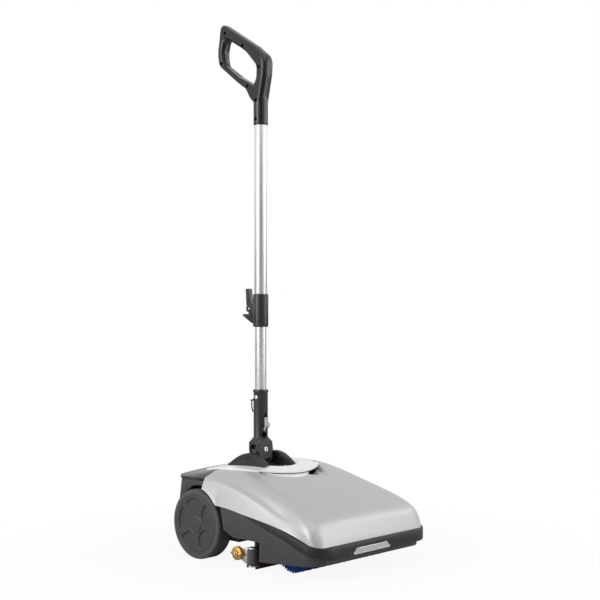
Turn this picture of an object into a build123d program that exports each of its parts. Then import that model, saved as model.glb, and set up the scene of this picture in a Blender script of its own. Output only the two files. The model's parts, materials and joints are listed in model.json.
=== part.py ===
"""Walk-behind wet and dry floor scrubber with a folding, telescopic handle.

Millimetres. +Z is up, -Y is the front and -X is the machine's right side.
The origin is on the floor, under the middle of the whole machine.
"""
from build123d import *
import math
import os

os.makedirs("parts", exist_ok=True)

# Layout
FRONT_Y = -234.5           # face of the front bumper
HANDLE_Y = 103.5           # handle axis
AXLE_Y = HANDLE_Y + 26.0
REAR_Y = HANDLE_Y + 100.0  # back of the rear housing
HALF_WIDTH = 173.5         # outside of the bumper band
GAP = 0.5                  # parting gap between shells
FIT = 0.05                 # radial clearance of pins, shafts and slides

# Wheels and axle
WHEEL_D = 147.5
WHEEL_W = 40.0
WHEEL_OUT_X = 167.0        # outer face of the tyre
TYRE_DEPTH = 9.5
TYRE_ROUND = 6.0
HUB_WEB = 10.0
HUB_SPOKES = 5
HUB_BOSS_R = 15.0
HUB_RIM = 7.0
HUB_SPOKE_W = 8.0
HUB_SLEEVE_R = 12.0
BOSS_PROUD = 1.5
POCKET_DEPTH = 3.0
POCKET_GAP = 5.0          # between the boss and the pockets
POCKET_ROUND = 4.0
AXLE_D = 12.0
ARCH_GAP = 7.0
ARCH_WALL = 3.0
AXLE_Z = WHEEL_D / 2
ARCH_R = WHEEL_D / 2 + ARCH_GAP
HUB_R = WHEEL_D / 2 - TYRE_DEPTH
WHEEL_IN_X = WHEEL_OUT_X - WHEEL_W
AXLE_END_X = WHEEL_OUT_X - HUB_WEB
WEB_IN_X = WHEEL_OUT_X - 2 * HUB_WEB

# Cover
COVER_TOP_Z = 190.5
COVER_WALL = 4.0
COVER_HALF = 164.0
COVER_FRONT_Y = FRONT_Y + 13.0
COVER_REAR_Y = HANDLE_Y + 16.5
COVER_CORNER_R = 38.0
SHOULDER_R = 40.0
FENDER_OUT = 172.0
FENDER_ROUND = 5.0

# Bumper band and front window
BAND_SIDE_T = 5.5
BAND_FRONT_T = 15.0
BAND_CORNER_R = 44.0
BAND_TIP_Y = HANDLE_Y - 126.0
WINDOW_LOW = 114.0
WINDOW_HIGH = 92.0
WINDOW_X = -18.0
WINDOW_Z = 48.0
WINDOW_H = 12.5
WINDOW_DEPTH = 4.0
WINDOW_SET = 1.0           # lens face behind the band's face

# Chassis
SIDE_WALL = 5.0
DECK_T = 4.0
DECK_Z = 66.0              # top of the deck
SKIRT_FRONT_Z = 35.0
SKIRT_REAR_Z = 23.0
NOTCH_FRONT_Y = HANDLE_Y - 168.0
NOTCH_REAR_Y = HANDLE_Y - 89.0
NOTCH_END_Y = HANDLE_Y - 62.0
NOTCH_END_Z = 74.0
TUB_GAP = 9.0              # between the tub and the wheels
TUB_FLOOR_Z = 40.0
TUB_WALL = 5.0
BRIDGE_Z = 112.0           # top of the bridge that carries the handle
BRIDGE_REAR_Y = HANDLE_Y + 17.0
SIDE_X = HALF_WIDTH - BAND_SIDE_T - GAP
TUB_HALF = WHEEL_IN_X - TUB_GAP
TUB_REAR_Y = REAR_Y - 8.0
DECK_UNDER_Z = DECK_Z - DECK_T

# Rear housing
REAR_HALF = 155.0
REAR_TOP_Z = 160.0
REAR_WALL = 4.0
REAR_CORNER_R = 12.0
CAP_OVERHANG = 2.5
CAP_FRONT_Y = COVER_REAR_Y + GAP
CAP_REAR_Y = REAR_Y + CAP_OVERHANG

# Brush and its drive
BRUSH_Y = FRONT_Y + 126.0
BRUSH_R = 48.0
BRUSH_SLEEVE_R = 29.0
BRUSH_CORE_R = 24.0
BRUSH_LEFT_X = 143.0
BRUSH_RIGHT_X = 118.0
SHAFT_R = 6.0
BEARING_R = 10.0
BEARING_SKIN = 1.5         # side wall left outside the bearings
BRUSH_RINGS = 20
BRUSH_TUFTS = 20
TUFT_SIDE = 2.6
TUNNEL_GAP = 5.0
TUNNEL_T = 4.0
PULLEY_W = 10.0
BRUSH_PULLEY_R = 25.0
MOTOR_PULLEY_R = 12.0
BELT_T = 3.0
BELT_GAP = 0.3
BELT_ROOM = 4.0
MOTOR_R = 28.0
MOTOR_LENGTH = 105.0
MOTOR_Y = HANDLE_Y - 134.0
MOTOR_SHAFT_R = 4.0
BRUSH_Z = BRUSH_R
TUNNEL_R = BRUSH_R + TUNNEL_GAP
PULLEY_X = BRUSH_LEFT_X + 4.0
MOTOR_Z = DECK_Z + MOTOR_R

# Squeegee
SQUEEGEE_Y = HANDLE_Y - 125.0
SQUEEGEE_HALF = 148.0
SQUEEGEE_DEPTH = 22.0
SQUEEGEE_LOW_Z = 20.0
SQUEEGEE_HIGH_Z = 42.0
LIP_T = 3.0
LIP_CLEAR = 0.5            # lips above the floor at rest
POST_R = 5.0
POST_X = 132.0
POST_BOSS_R = 9.0
POST_BOSS_H = 14.0
BRACKET_T = 2.5
NUT_R = 14.0
NUT_W = 7.0
NUT_OFFSET = 34.0          # thumb nut behind the middle of the squeegee
NUT_Z = 28.0
STUD_R = 3.0
ROLLER_R = 10.5
ROLLER_H = 32.0
ROLLER_OFFSET = 17.0       # guide roller ahead of the middle of the squeegee
ROLLER_LOW_Z = 12.0
ROLLER_BOLT_R = 4.0
ROLLER_HEAD_R = 8.0
ROLLER_HEAD_H = 4.0
SPIGOT_R = 7.0
SPIGOT_Z = 48.0
BOOT_T = 2.0
BOOT_H = 14.0
BOOT_GAP = 0.5

# Collar and saddle
COLLAR_R = 119.0
COLLAR_T = 3.0
COLLAR_STEP = 11.0
COLLAR_REAR = 78.0         # rear edge behind the handle axis
COLLAR_LEDGE = 14.0        # width of cover under the collar's edge
SADDLE_HALF = 44.0
SADDLE_FRONT = 88.0        # middle of the rounded front edge
SADDLE_CORNER = 70.0       # ends of the rounded front edge
SADDLE_REAR = 58.0
SADDLE_BASE_Z = 183.5
SADDLE_T = 3.5
LOBE_IN_X = 26.0
LOBE_OUT_X = 43.0
LOBE_TOP_Z = 215.5
PEDESTAL_HALF_X = 38.0
PEDESTAL_HALF_Y = 24.0
PEDESTAL_WALL = 5.0
TILT_Z = 200.0             # cross pin that the handle folds about
TILT_PIN_R = 4.0
FORK_ROOM_R = 22.0         # pocket under the fork, about the cross pin
LOBE_FLARE = 11.0          # the trough widens by this much towards its ends

# Joint block, fork and handle
LEAN_Z = 221.4             # bolt that the handle leans about
LEAN_BOLT_R = 5.0
BOLT_HEAD_R = 8.0
BOLT_HEAD_H = 4.0
BLOCK_HALF_X = 21.0
BLOCK_HALF_Y = 7.7
BLOCK_EYE_R = 14.0
CHEEK_R = 22.4
CHEEK_IN_Y = 8.0
CHEEK_OUT_Y = 14.0
FORK_SHOULDER_Z = 236.0
FORK_NECK_Z = 248.0
FORK_TOP_Z = 351.0
FORK_R = 15.8
FORK_RIM_R = 17.0
FORK_RIM_H = 5.0
SOCKET_Z = 302.0
LOWER_TUBE_R = 12.5
LOWER_TUBE_WALL = 1.5
LOWER_TUBE_TOP_Z = 790.0
UPPER_TUBE_R = 14.0
LOCK_Z = 335.0
LOCK_PIN_R = 3.0
LOCK_HEAD_R = 4.5
LOCK_HEAD_H = 2.0
LOCK_OUT = 3.0
LATCH_HALF_X = 3.5
LATCH_LOW_Z = 266.0
LATCH_H = 25.0
LATCH_TRAVEL = 8.0
LATCH_OUT_Y = 19.0
LATCH_IN_Y = 11.0
LATCH_TAB_H = 6.0
LATCH_TAB_OUT = 26.0
LATCH_TAB_HALF_X = 8.0
LATCH_GAP = 0.4

# Clamp
CLAMP_LOW_Z = 489.0
CLAMP_TOP_Z = 561.0
CLAMP_R = 17.0
CLAMP_LIP = 8.0
CLAMP_PIVOT_Y = 27.0       # behind the handle axis
CLAMP_PIVOT_Z = 529.0
CLAMP_PIN_R = 2.5
LEVER_HALF_X = 7.0
LEVER_GAP = 0.4
EAR_T = 4.0
LUG_DROP = 12.0            # top of the rear lug below the lever's pin
LUG_NOSE = 20.0            # the lug's tip behind the lever's pin
LUG_TIP_H = 3.0
LEVER_ROOT = 6.0

# Grip
GRIP_LOW_Z = 932.0
GRIP_HALF_X = 16.0
GRIP_ROUND = 8.0
GRIP_CORNER_R = 20.0
GRIP_TIP_R = 10.0          # highest corner of the loop
GRIP_HOLE_R = 12.0
TUBE_IN_GRIP = 44.0
NECK_SCREW_UP = 13.0       # lowest screw above the foot of the grip
SCREW_R = 2.0
SCREW_HEAD_R = 3.2
SCREW_HEAD_H = 3.0
SCREW_SINK = 3.0
SCREW_BITE = 10.0

# Inner pieces
TANK_GAP = 12.0
FAN_R = 33.0
FAN_H = 30.0
FAN_X = 58.0
FAN_Y = HANDLE_Y - 16.5
FAN_WALL = 3.0
FAN_RUNNING_GAP = 2.0
FAN_BLADES = 8
FAN_MOTOR_R = 24.0
FAN_MOTOR_H = 28.0
BATTERY_X = 170.0
BATTERY_Y = 68.0
BATTERY_Z = 69.0
RIB_X = 60.0
RIB_T = 6.0
BOARD_T = 2.0
SPRAY_R = 4.0

# Switch and charging inlet on the back
SWITCH_HALF_X = 11.0
SWITCH_H = 15.0
SWITCH_DEPTH = 8.0
SWITCH_Z = 142.0
SWITCH_X = -103.0
SWITCH_PROUD = 2.0
TRUNNION_R = 1.0
INLET_X = 103.0
INLET_R = 6.0
INLET_FLANGE_R = 11.0
INLET_DEPTH = 16.0

# Parting line between the cover and what it stands on, rear to front (Y, Z)
RIM = [
    (HANDLE_Y - 51.0, 121.5),
    (BAND_TIP_Y, 113.0),
    (FRONT_Y + 105.0, 97.0),
    (FRONT_Y + 26.0, 73.5),
    (FRONT_Y, 70.0),
]

# Ridge of the cover seen from the side, rear to front (Y, Z)
CROWN = [
    (CAP_REAR_Y, COVER_TOP_Z - 6.5),
    (HANDLE_Y - 40.0, COVER_TOP_Z),
    (HANDLE_Y - 114.0, COVER_TOP_Z - 9.5),
    (FRONT_Y + 142.0, 157.0),
    (FRONT_Y + 64.0, 126.5),
    (FRONT_Y + 28.0, 99.0),
    (COVER_FRONT_Y, 66.0),
]

# Arch of the saddle's lobes, rear to front (Y, Z)
LOBE = [
    (HANDLE_Y + SADDLE_REAR, SADDLE_BASE_Z + SADDLE_T),
    (HANDLE_Y + 36.5, LOBE_TOP_Z - 15.0),
    (HANDLE_Y + 15.5, LOBE_TOP_Z - 5.0),
    (HANDLE_Y - 6.0, LOBE_TOP_Z),
    (HANDLE_Y - 30.0, LOBE_TOP_Z - 3.5),
    (HANDLE_Y - 47.0, LOBE_TOP_Z - 11.5),
    (HANDLE_Y - SADDLE_CORNER, SADDLE_BASE_Z + SADDLE_T),
]

# Crease of the side fenders, rear to front (Y, Z)
CREASE = [
    (COVER_REAR_Y, 178.0),
    (HANDLE_Y - 30.0, 174.0),
    (HANDLE_Y - 115.0, 148.0),
    (FRONT_Y + 120.0, 105.0),
    (FRONT_Y + 82.0, 72.0),
]


def rod_x(radius, x_from, x_to, y, z, mode=Mode.ADD):
    """Round bar along X."""
    with Locations(Location(((x_from + x_to) / 2, y, z), (0, 90, 0))):
        Cylinder(radius, abs(x_to - x_from), mode=mode)


def rod_y(radius, y_from, y_to, x, z, mode=Mode.ADD):
    """Round bar along Y."""
    with Locations(Location((x, (y_from + y_to) / 2, z), (90, 0, 0))):
        Cylinder(radius, abs(y_to - y_from), mode=mode)


def rod_z(radius, z_from, z_to, x, y, mode=Mode.ADD):
    """Round bar along Z."""
    with Locations((x, y, (z_from + z_to) / 2)):
        Cylinder(radius, abs(z_to - z_from), mode=mode)


def block(x_span, y_span, z_span, mode=Mode.ADD):
    """Square block between the given limits."""
    spans = (x_span, y_span, z_span)
    middle = [(low + high) / 2 for low, high in spans]
    with Locations(tuple(middle)):
        Box(*[high - low for low, high in spans], mode=mode)


def plan_slab(half_width, front_y, rear_y, corner, z_from, z_to):
    """Slab that is square at the back and rounded at its two front corners."""
    with BuildPart() as slab:
        block((-half_width, half_width), (front_y, rear_y), (z_from, z_to))
        fillet(slab.edges().filter_by(Axis.Z).group_by(Axis.Y)[0], corner)
    return slab.part


def side_slab(points, x_from, x_to):
    """Side view of straight lines, carried across the width."""
    with BuildPart() as slab:
        with BuildSketch(Plane.YZ.offset(x_from)):
            with BuildLine():
                Polyline(*points, close=True)
            make_face()
        extrude(amount=x_to - x_from)
    return slab.part


def arches(radius, inner_x):
    """Two round bars that stand for the room of the wheels."""
    with BuildPart() as room:
        for side in (-1, 1):
            rod_x(radius, side * inner_x, side * (HALF_WIDTH + ARCH_GAP), AXLE_Y, AXLE_Z)
    return room.part


def moved_out(line, amount):
    """Points of a line moved square to it, outwards where amount is positive."""
    moved = []
    for index, (y, z) in enumerate(line):
        before = line[max(index - 1, 0)]
        after = line[min(index + 1, len(line) - 1)]
        run = Vector(after[0] - before[0], after[1] - before[1]).normalized()
        moved.append((y + run.Y * amount, z - run.X * amount))
    return moved


def crown_body(grow, half_width, shoulder):
    """Body under the ridge line, grown square to it, with rounded shoulders."""
    with BuildPart() as body:
        for y, z in moved_out(CROWN, grow):
            with BuildSketch(Plane.XZ.offset(-y)) as section:
                Rectangle(2 * half_width, z, align=(Align.CENTER, Align.MIN))
                fillet(section.vertices().group_by(Axis.Y)[-1], shoulder)
        loft()
    return body.part


def finish(part, name):
    """Label a finished piece and write it."""
    part.label = name
    export_step(part, f"parts/{name}.step")


# Chassis: skirt, deck, brush tunnel and rear tub
skirt_profile = [
    (FRONT_Y, SKIRT_FRONT_Z),
    (NOTCH_FRONT_Y, SKIRT_REAR_Z),
    (NOTCH_FRONT_Y, DECK_UNDER_Z),
    (NOTCH_REAR_Y, DECK_UNDER_Z),
    (NOTCH_END_Y, NOTCH_END_Z),
    *[(y, z - GAP) for y, z in RIM],
]
skirt = side_slab(skirt_profile, -HALF_WIDTH, HALF_WIDTH)
CHASSIS_FRONT_Y = FRONT_Y + BAND_FRONT_T + GAP
CHASSIS_CORNER_R = BAND_CORNER_R - BAND_SIDE_T - GAP
chassis_plan = plan_slab(SIDE_X, CHASSIS_FRONT_Y, RIM[0][0], CHASSIS_CORNER_R, 0, COVER_TOP_Z)
bay_plan = plan_slab(
    SIDE_X - SIDE_WALL,
    CHASSIS_FRONT_Y + SIDE_WALL,
    RIM[0][0] - SIDE_WALL,
    CHASSIS_CORNER_R - SIDE_WALL,
    0,
    COVER_TOP_Z,
)
with BuildPart() as deck_plate:
    block((-SIDE_X, SIDE_X), (FRONT_Y, REAR_Y), (DECK_UNDER_Z, DECK_Z))
bay = bay_plan - deck_plate.part
BAY_X = SIDE_X - SIDE_WALL
BEARING_X = SIDE_X - BEARING_SKIN
BELT_X = PULLEY_X - BELT_ROOM
TUB_FRONT_Y = RIM[0][0] - SIDE_WALL
BATTERY_FRONT_Y = TUB_REAR_Y - TUB_WALL - GAP - BATTERY_Y
BATTERY_LOW_Z = AXLE_Z + AXLE_D
BELT_TOP_Z = MOTOR_Z + MOTOR_PULLEY_R + BELT_T + BELT_ROOM
TUNNEL_HALF = COVER_HALF - 2 * COVER_WALL
with BuildPart() as tunnel:
    rod_x(TUNNEL_R + TUNNEL_T, -TUNNEL_HALF, TUNNEL_HALF, BRUSH_Y, BRUSH_Z)
    block((-SIDE_X, SIDE_X), (FRONT_Y, REAR_Y), (DECK_UNDER_Z, COVER_TOP_Z), Mode.INTERSECT)
with BuildPart() as chassis:
    add(chassis_plan)
    add(skirt, mode=Mode.INTERSECT)
    add(bay, mode=Mode.SUBTRACT)
    add(tunnel.part)
    rod_x(TUNNEL_R, -BAY_X, BAY_X, BRUSH_Y, BRUSH_Z, Mode.SUBTRACT)
    block(
        (BELT_X, BAY_X),
        (BRUSH_Y, MOTOR_Y + MOTOR_PULLEY_R + BELT_T + BELT_ROOM),
        (0, BELT_TOP_Z),
        Mode.SUBTRACT,
    )
    for side in (-1, 1):
        rod_x(BEARING_R, side * BAY_X, side * BEARING_X, BRUSH_Y, BRUSH_Z, Mode.SUBTRACT)
    for side in (-1, 1):
        rod_z(POST_BOSS_R, DECK_UNDER_Z, DECK_UNDER_Z + POST_BOSS_H, side * POST_X, SQUEEGEE_Y)
        rod_z(POST_R + FIT, 0, DECK_Z + POST_BOSS_H, side * POST_X, SQUEEGEE_Y, Mode.SUBTRACT)
    rod_z(SPIGOT_R + BOOT_GAP + BOOT_T + GAP, 0, DECK_Z + GAP, 0, SQUEEGEE_Y, Mode.SUBTRACT)
    block((-TUB_HALF, TUB_HALF), (TUB_FRONT_Y, TUB_REAR_Y), (TUB_FLOOR_Z, BRIDGE_Z))
    block(
        (-TUB_HALF + TUB_WALL, TUB_HALF - TUB_WALL),
        (TUB_FRONT_Y + TUB_WALL, TUB_REAR_Y - TUB_WALL),
        (TUB_FLOOR_Z + TUB_WALL, BRIDGE_Z),
        Mode.SUBTRACT,
    )
    block((-TUB_HALF, TUB_HALF), (TUB_FRONT_Y, BRIDGE_REAR_Y), (BRIDGE_Z - TUB_WALL, BRIDGE_Z))
    for side in (-1, 1):
        block(
            (side * RIB_X - RIB_T / 2, side * RIB_X + RIB_T / 2),
            (BATTERY_FRONT_Y + AXLE_D, TUB_REAR_Y - TUB_WALL),
            (TUB_FLOOR_Z + TUB_WALL, BATTERY_LOW_Z),
        )
    rod_x(AXLE_D / 2 + FIT, -TUB_HALF, TUB_HALF, AXLE_Y, AXLE_Z, Mode.SUBTRACT)
finish(chassis.part, "chassis")

# Brush bearings, pressed into the side walls
for side, name in ((-1, "brush_bearing_right"), (1, "brush_bearing_left")):
    with BuildPart() as bearing:
        rod_x(BEARING_R, side * BAY_X, side * BEARING_X, BRUSH_Y, BRUSH_Z)
        rod_x(SHAFT_R + FIT, side * BAY_X, side * BEARING_X, BRUSH_Y, BRUSH_Z, Mode.SUBTRACT)
    finish(bearing.part, name)

# Axle
with BuildPart() as axle:
    rod_x(AXLE_D / 2, -AXLE_END_X, AXLE_END_X, AXLE_Y, AXLE_Z)
    chamfer(axle.edges().filter_by(GeomType.CIRCLE), AXLE_D / 12)
finish(axle.part, "axle")

# Cover: thin dome with proud side fenders, open below and at the back
SKY_Z = COVER_TOP_Z * 2
rim_body = side_slab(
    [(REAR_Y, SKY_Z), (REAR_Y, BRIDGE_Z), *RIM, (FRONT_Y, SKY_Z)],
    -HALF_WIDTH,
    HALF_WIDTH,
)
cover_plan = plan_slab(COVER_HALF, COVER_FRONT_Y, COVER_REAR_Y, COVER_CORNER_R, 0, SKY_Z)
hollow_plan = plan_slab(
    COVER_HALF - COVER_WALL,
    COVER_FRONT_Y + COVER_WALL,
    REAR_Y,
    COVER_CORNER_R - COVER_WALL,
    0,
    SKY_Z,
)
dome = crown_body(0, COVER_HALF, SHOULDER_R)
dome_hollow = crown_body(-COVER_WALL, COVER_HALF - COVER_WALL, SHOULDER_R - COVER_WALL)
wheel_room = arches(ARCH_R, TUB_HALF)
mudguard_room = arches(ARCH_R + ARCH_WALL, TUB_HALF - ARCH_WALL)
with BuildPart() as collar_hole:
    rod_z(COLLAR_R - COLLAR_LEDGE, BRIDGE_Z, SKY_Z, 0, HANDLE_Y)
    block(
        (-HALF_WIDTH, HALF_WIDTH),
        (FRONT_Y, HANDLE_Y + COLLAR_REAR - COLLAR_LEDGE),
        (0, SKY_Z),
        Mode.INTERSECT,
    )
with BuildPart() as fenders:
    with BuildSketch(Plane.YZ.offset(COVER_HALF - COVER_WALL)):
        with BuildLine():
            Spline(*CREASE)
            Polyline(CREASE[-1], (CREASE[-1][0], 0), (CREASE[0][0], 0), CREASE[0])
        make_face()
    extrude(amount=FENDER_OUT - COVER_HALF + COVER_WALL)
    fillet(fenders.edges().filter_by(GeomType.BSPLINE).sort_by(Axis.X)[-1], FENDER_ROUND)
    mirror(about=Plane.YZ)
with BuildPart() as cover_inside:
    add(dome_hollow)
    add(hollow_plan, mode=Mode.INTERSECT)
    add(mudguard_room, mode=Mode.SUBTRACT)
with BuildPart() as cover:
    add(dome)
    add(cover_plan, mode=Mode.INTERSECT)
    add(fenders.part)
    add(rim_body, mode=Mode.INTERSECT)
    add(cover_inside.part, mode=Mode.SUBTRACT)
    add(wheel_room, mode=Mode.SUBTRACT)
    add(collar_hole.part, mode=Mode.SUBTRACT)
finish(cover.part, "cover")

# Bumper band: round the front and back along the sides to a point
band_profile = [
    (FRONT_Y, RIM[-1][1] - 2 * GAP),
    *[(y, z - GAP) for y, z in reversed(RIM[1:-1])],
    (FRONT_Y + 157.0, 94.0),
    (FRONT_Y + 98.0, 78.0),
    (FRONT_Y + 56.0, 62.0),
    (FRONT_Y + 26.0, 54.0),
    (FRONT_Y, 46.0),
]
band_shape = side_slab(band_profile, -HALF_WIDTH, HALF_WIDTH)
band_outer = plan_slab(HALF_WIDTH, FRONT_Y, BAND_TIP_Y, BAND_CORNER_R, 0, COVER_TOP_Z)
band_inner = plan_slab(
    HALF_WIDTH - BAND_SIDE_T,
    FRONT_Y + BAND_FRONT_T,
    BAND_TIP_Y + GAP,
    BAND_CORNER_R - BAND_SIDE_T,
    0,
    COVER_TOP_Z,
)


def window_solid(grow, y_from, y_to):
    """Trapezoid of the front window, with its long side below."""
    with BuildPart() as solid:
        with BuildSketch(Plane.XZ.offset(-y_to)):
            with BuildLine():
                Polyline(
                    (WINDOW_X - WINDOW_LOW / 2 - grow, WINDOW_Z - grow),
                    (WINDOW_X + WINDOW_LOW / 2 + grow, WINDOW_Z - grow),
                    (WINDOW_X + WINDOW_HIGH / 2 + grow, WINDOW_Z + WINDOW_H + grow),
                    (WINDOW_X - WINDOW_HIGH / 2 - grow, WINDOW_Z + WINDOW_H + grow),
                    close=True,
                )
            make_face()
        extrude(amount=y_to - y_from)
    return solid.part


window_recess = window_solid(FIT, FRONT_Y - GAP, FRONT_Y + WINDOW_DEPTH)
with BuildPart() as bumper_band:
    add(band_outer)
    add(band_inner, mode=Mode.SUBTRACT)
    add(band_shape, mode=Mode.INTERSECT)
    add(window_recess, mode=Mode.SUBTRACT)
finish(bumper_band.part, "bumper_band")

lens = window_solid(0, FRONT_Y + WINDOW_SET, FRONT_Y + WINDOW_DEPTH)
with BuildPart() as front_window:
    add(lens)
    chamfer(front_window.faces().sort_by(Axis.Y)[0].edges(), WINDOW_SET)
finish(front_window.part, "front_window")

# Rear housing with its mudguards, and the cap that continues the cover's dome
BACK_IN_Y = REAR_Y - REAR_WALL
SWITCH_PIVOT_Y = REAR_Y - REAR_WALL / 2
TRUNNION_FROM = SWITCH_X - SWITCH_HALF_X - GAP - REAR_WALL / 2
TRUNNION_TO = SWITCH_X + SWITCH_HALF_X + GAP + REAR_WALL / 2
with BuildPart() as rear_inside:
    block(
        (-REAR_HALF + REAR_WALL, REAR_HALF - REAR_WALL),
        (CAP_FRONT_Y - GAP, BACK_IN_Y),
        (0, REAR_TOP_Z - REAR_WALL),
    )
    add(mudguard_room, mode=Mode.SUBTRACT)
with BuildPart() as rear_housing:
    block((-REAR_HALF, REAR_HALF), (CAP_FRONT_Y, REAR_Y), (BRIDGE_Z, REAR_TOP_Z))
    fillet(rear_housing.edges().filter_by(Axis.Z).group_by(Axis.Y)[-1], REAR_CORNER_R)
    add(rear_inside.part, mode=Mode.SUBTRACT)
    add(wheel_room, mode=Mode.SUBTRACT)
    block(
        (-COLLAR_R + COLLAR_LEDGE, COLLAR_R - COLLAR_LEDGE),
        (CAP_FRONT_Y, HANDLE_Y + SADDLE_REAR),
        (REAR_TOP_Z - REAR_WALL, REAR_TOP_Z),
        Mode.SUBTRACT,
    )
    block(
        (SWITCH_X - SWITCH_HALF_X - GAP, SWITCH_X + SWITCH_HALF_X + GAP),
        (BACK_IN_Y, REAR_Y),
        (SWITCH_Z - SWITCH_H / 2 - GAP, SWITCH_Z + SWITCH_H / 2 + GAP),
        Mode.SUBTRACT,
    )
    rod_x(TRUNNION_R + FIT, TRUNNION_FROM, TRUNNION_TO, SWITCH_PIVOT_Y, SWITCH_Z, Mode.SUBTRACT)
    rod_y(INLET_FLANGE_R, BACK_IN_Y, REAR_Y, INLET_X, SWITCH_Z, Mode.SUBTRACT)
finish(rear_housing.part, "rear_housing")

cap_hollow = crown_body(-COVER_WALL, REAR_HALF - COVER_WALL, SHOULDER_R - COVER_WALL)
with BuildPart() as cap_inside:
    add(cap_hollow)
    block(
        (-REAR_HALF, REAR_HALF),
        (CAP_FRONT_Y - GAP, REAR_Y - REAR_WALL),
        (0, SKY_Z),
        Mode.INTERSECT,
    )
with BuildPart() as cap_plan:
    block(
        (-REAR_HALF - CAP_OVERHANG, REAR_HALF + CAP_OVERHANG),
        (CAP_FRONT_Y, CAP_REAR_Y),
        (REAR_TOP_Z, SKY_Z),
    )
    fillet(cap_plan.edges().filter_by(Axis.Z).group_by(Axis.Y)[-1], REAR_CORNER_R + CAP_OVERHANG)
with BuildPart() as rear_cap:
    add(dome)
    add(cap_plan.part, mode=Mode.INTERSECT)
    add(cap_inside.part, mode=Mode.SUBTRACT)
    add(collar_hole.part, mode=Mode.SUBTRACT)
finish(rear_cap.part, "rear_cap")

# Rocker switch on the back, turning about X
with BuildPart() as power_switch:
    with BuildSketch(Plane.YZ.offset(SWITCH_X - SWITCH_HALF_X)):
        with BuildLine():
            Polyline(
                (SWITCH_PIVOT_Y - SWITCH_DEPTH / 2, SWITCH_Z - SWITCH_H / 4),
                (REAR_Y + SWITCH_PROUD, SWITCH_Z - SWITCH_H / 2 + GAP),
                (REAR_Y, SWITCH_Z),
                (REAR_Y + SWITCH_PROUD, SWITCH_Z + SWITCH_H / 2 - GAP),
                (SWITCH_PIVOT_Y - SWITCH_DEPTH / 2, SWITCH_Z + SWITCH_H / 4),
                close=True,
            )
        make_face()
    extrude(amount=2 * SWITCH_HALF_X)
    rod_x(TRUNNION_R, TRUNNION_FROM, TRUNNION_TO, SWITCH_PIVOT_Y, SWITCH_Z)
finish(power_switch.part, "power_switch")

with BuildPart() as charge_inlet:
    rod_y(INLET_FLANGE_R, BACK_IN_Y, REAR_Y, INLET_X, SWITCH_Z)
    rod_y(INLET_FLANGE_R - REAR_WALL / 2, REAR_Y - INLET_DEPTH - REAR_WALL, BACK_IN_Y, INLET_X, SWITCH_Z)
    rod_y(INLET_R, REAR_Y - INLET_DEPTH, REAR_Y, INLET_X, SWITCH_Z, Mode.SUBTRACT)
finish(charge_inlet.part, "charge_inlet")

# Collar: dished plate on top of the cover, with a raised step at its front
plate_body = crown_body(COLLAR_T, COVER_HALF, SHOULDER_R)
step_body = crown_body(2 * COLLAR_T, COVER_HALF, SHOULDER_R)
plate = plate_body - dome
step_plate = step_body - plate_body


def saddle_plan(grow):
    """Outline of the saddle's base, rounded in front and grown by a gap, as a tall block."""
    half = SADDLE_HALF + grow
    corner_y = HANDLE_Y - SADDLE_CORNER - grow
    rear_y = HANDLE_Y + SADDLE_REAR + grow
    with BuildPart() as solid:
        with BuildSketch(Plane.XY.offset(SADDLE_BASE_Z)):
            with BuildLine():
                ThreePointArc((-half, corner_y), (0, HANDLE_Y - SADDLE_FRONT - grow), (half, corner_y))
                Polyline((half, corner_y), (half, rear_y), (-half, rear_y), (-half, corner_y))
            make_face()
        extrude(amount=SKY_Z - SADDLE_BASE_Z)
    return solid.part


saddle_room = saddle_plan(GAP)
with BuildPart() as collar_disc:
    rod_z(COLLAR_R, 0, SKY_Z, 0, HANDLE_Y)
    block((-COLLAR_R, COLLAR_R), (FRONT_Y, HANDLE_Y + COLLAR_REAR), (0, SKY_Z), Mode.INTERSECT)
with BuildPart() as collar_step:
    add(step_plate)
    rod_z(COLLAR_R - COLLAR_STEP, 0, SKY_Z, 0, HANDLE_Y, Mode.INTERSECT)
    block(
        (-COLLAR_R, COLLAR_R),
        (FRONT_Y, HANDLE_Y - SADDLE_HALF),
        (0, SKY_Z),
        Mode.INTERSECT,
    )
with BuildPart() as collar:
    add(plate)
    add(collar_disc.part, mode=Mode.INTERSECT)
    add(collar_step.part)
    add(saddle_room, mode=Mode.SUBTRACT)
finish(collar.part, "collar")

# Saddle: pedestal on the bridge, base plate and two arched lobes
saddle_base = saddle_plan(0)
with BuildPart() as lobes:
    with BuildSketch(Plane.YZ.offset(LOBE_IN_X)):
        with BuildLine():
            Spline(*LOBE)
            Polyline(LOBE[-1], (LOBE[-1][0], SADDLE_BASE_Z), (LOBE[0][0], SADDLE_BASE_Z), LOBE[0])
        make_face()
    extrude(amount=LOBE_OUT_X - LOBE_IN_X)
    mirror(about=Plane.YZ)
    with BuildSketch(Plane.XY.offset(SADDLE_BASE_Z + SADDLE_T)):
        with BuildLine():
            Polyline(
                (LOBE_IN_X, HANDLE_Y),
                (LOBE_IN_X + LOBE_FLARE, LOBE[0][0]),
                (-LOBE_IN_X - LOBE_FLARE, LOBE[0][0]),
                (-LOBE_IN_X, HANDLE_Y),
                (-LOBE_IN_X - LOBE_FLARE, LOBE[-1][0]),
                (LOBE_IN_X + LOBE_FLARE, LOBE[-1][0]),
                close=True,
            )
        make_face()
    extrude(amount=LOBE_TOP_Z, mode=Mode.SUBTRACT)
    add(saddle_base, mode=Mode.INTERSECT)
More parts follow.
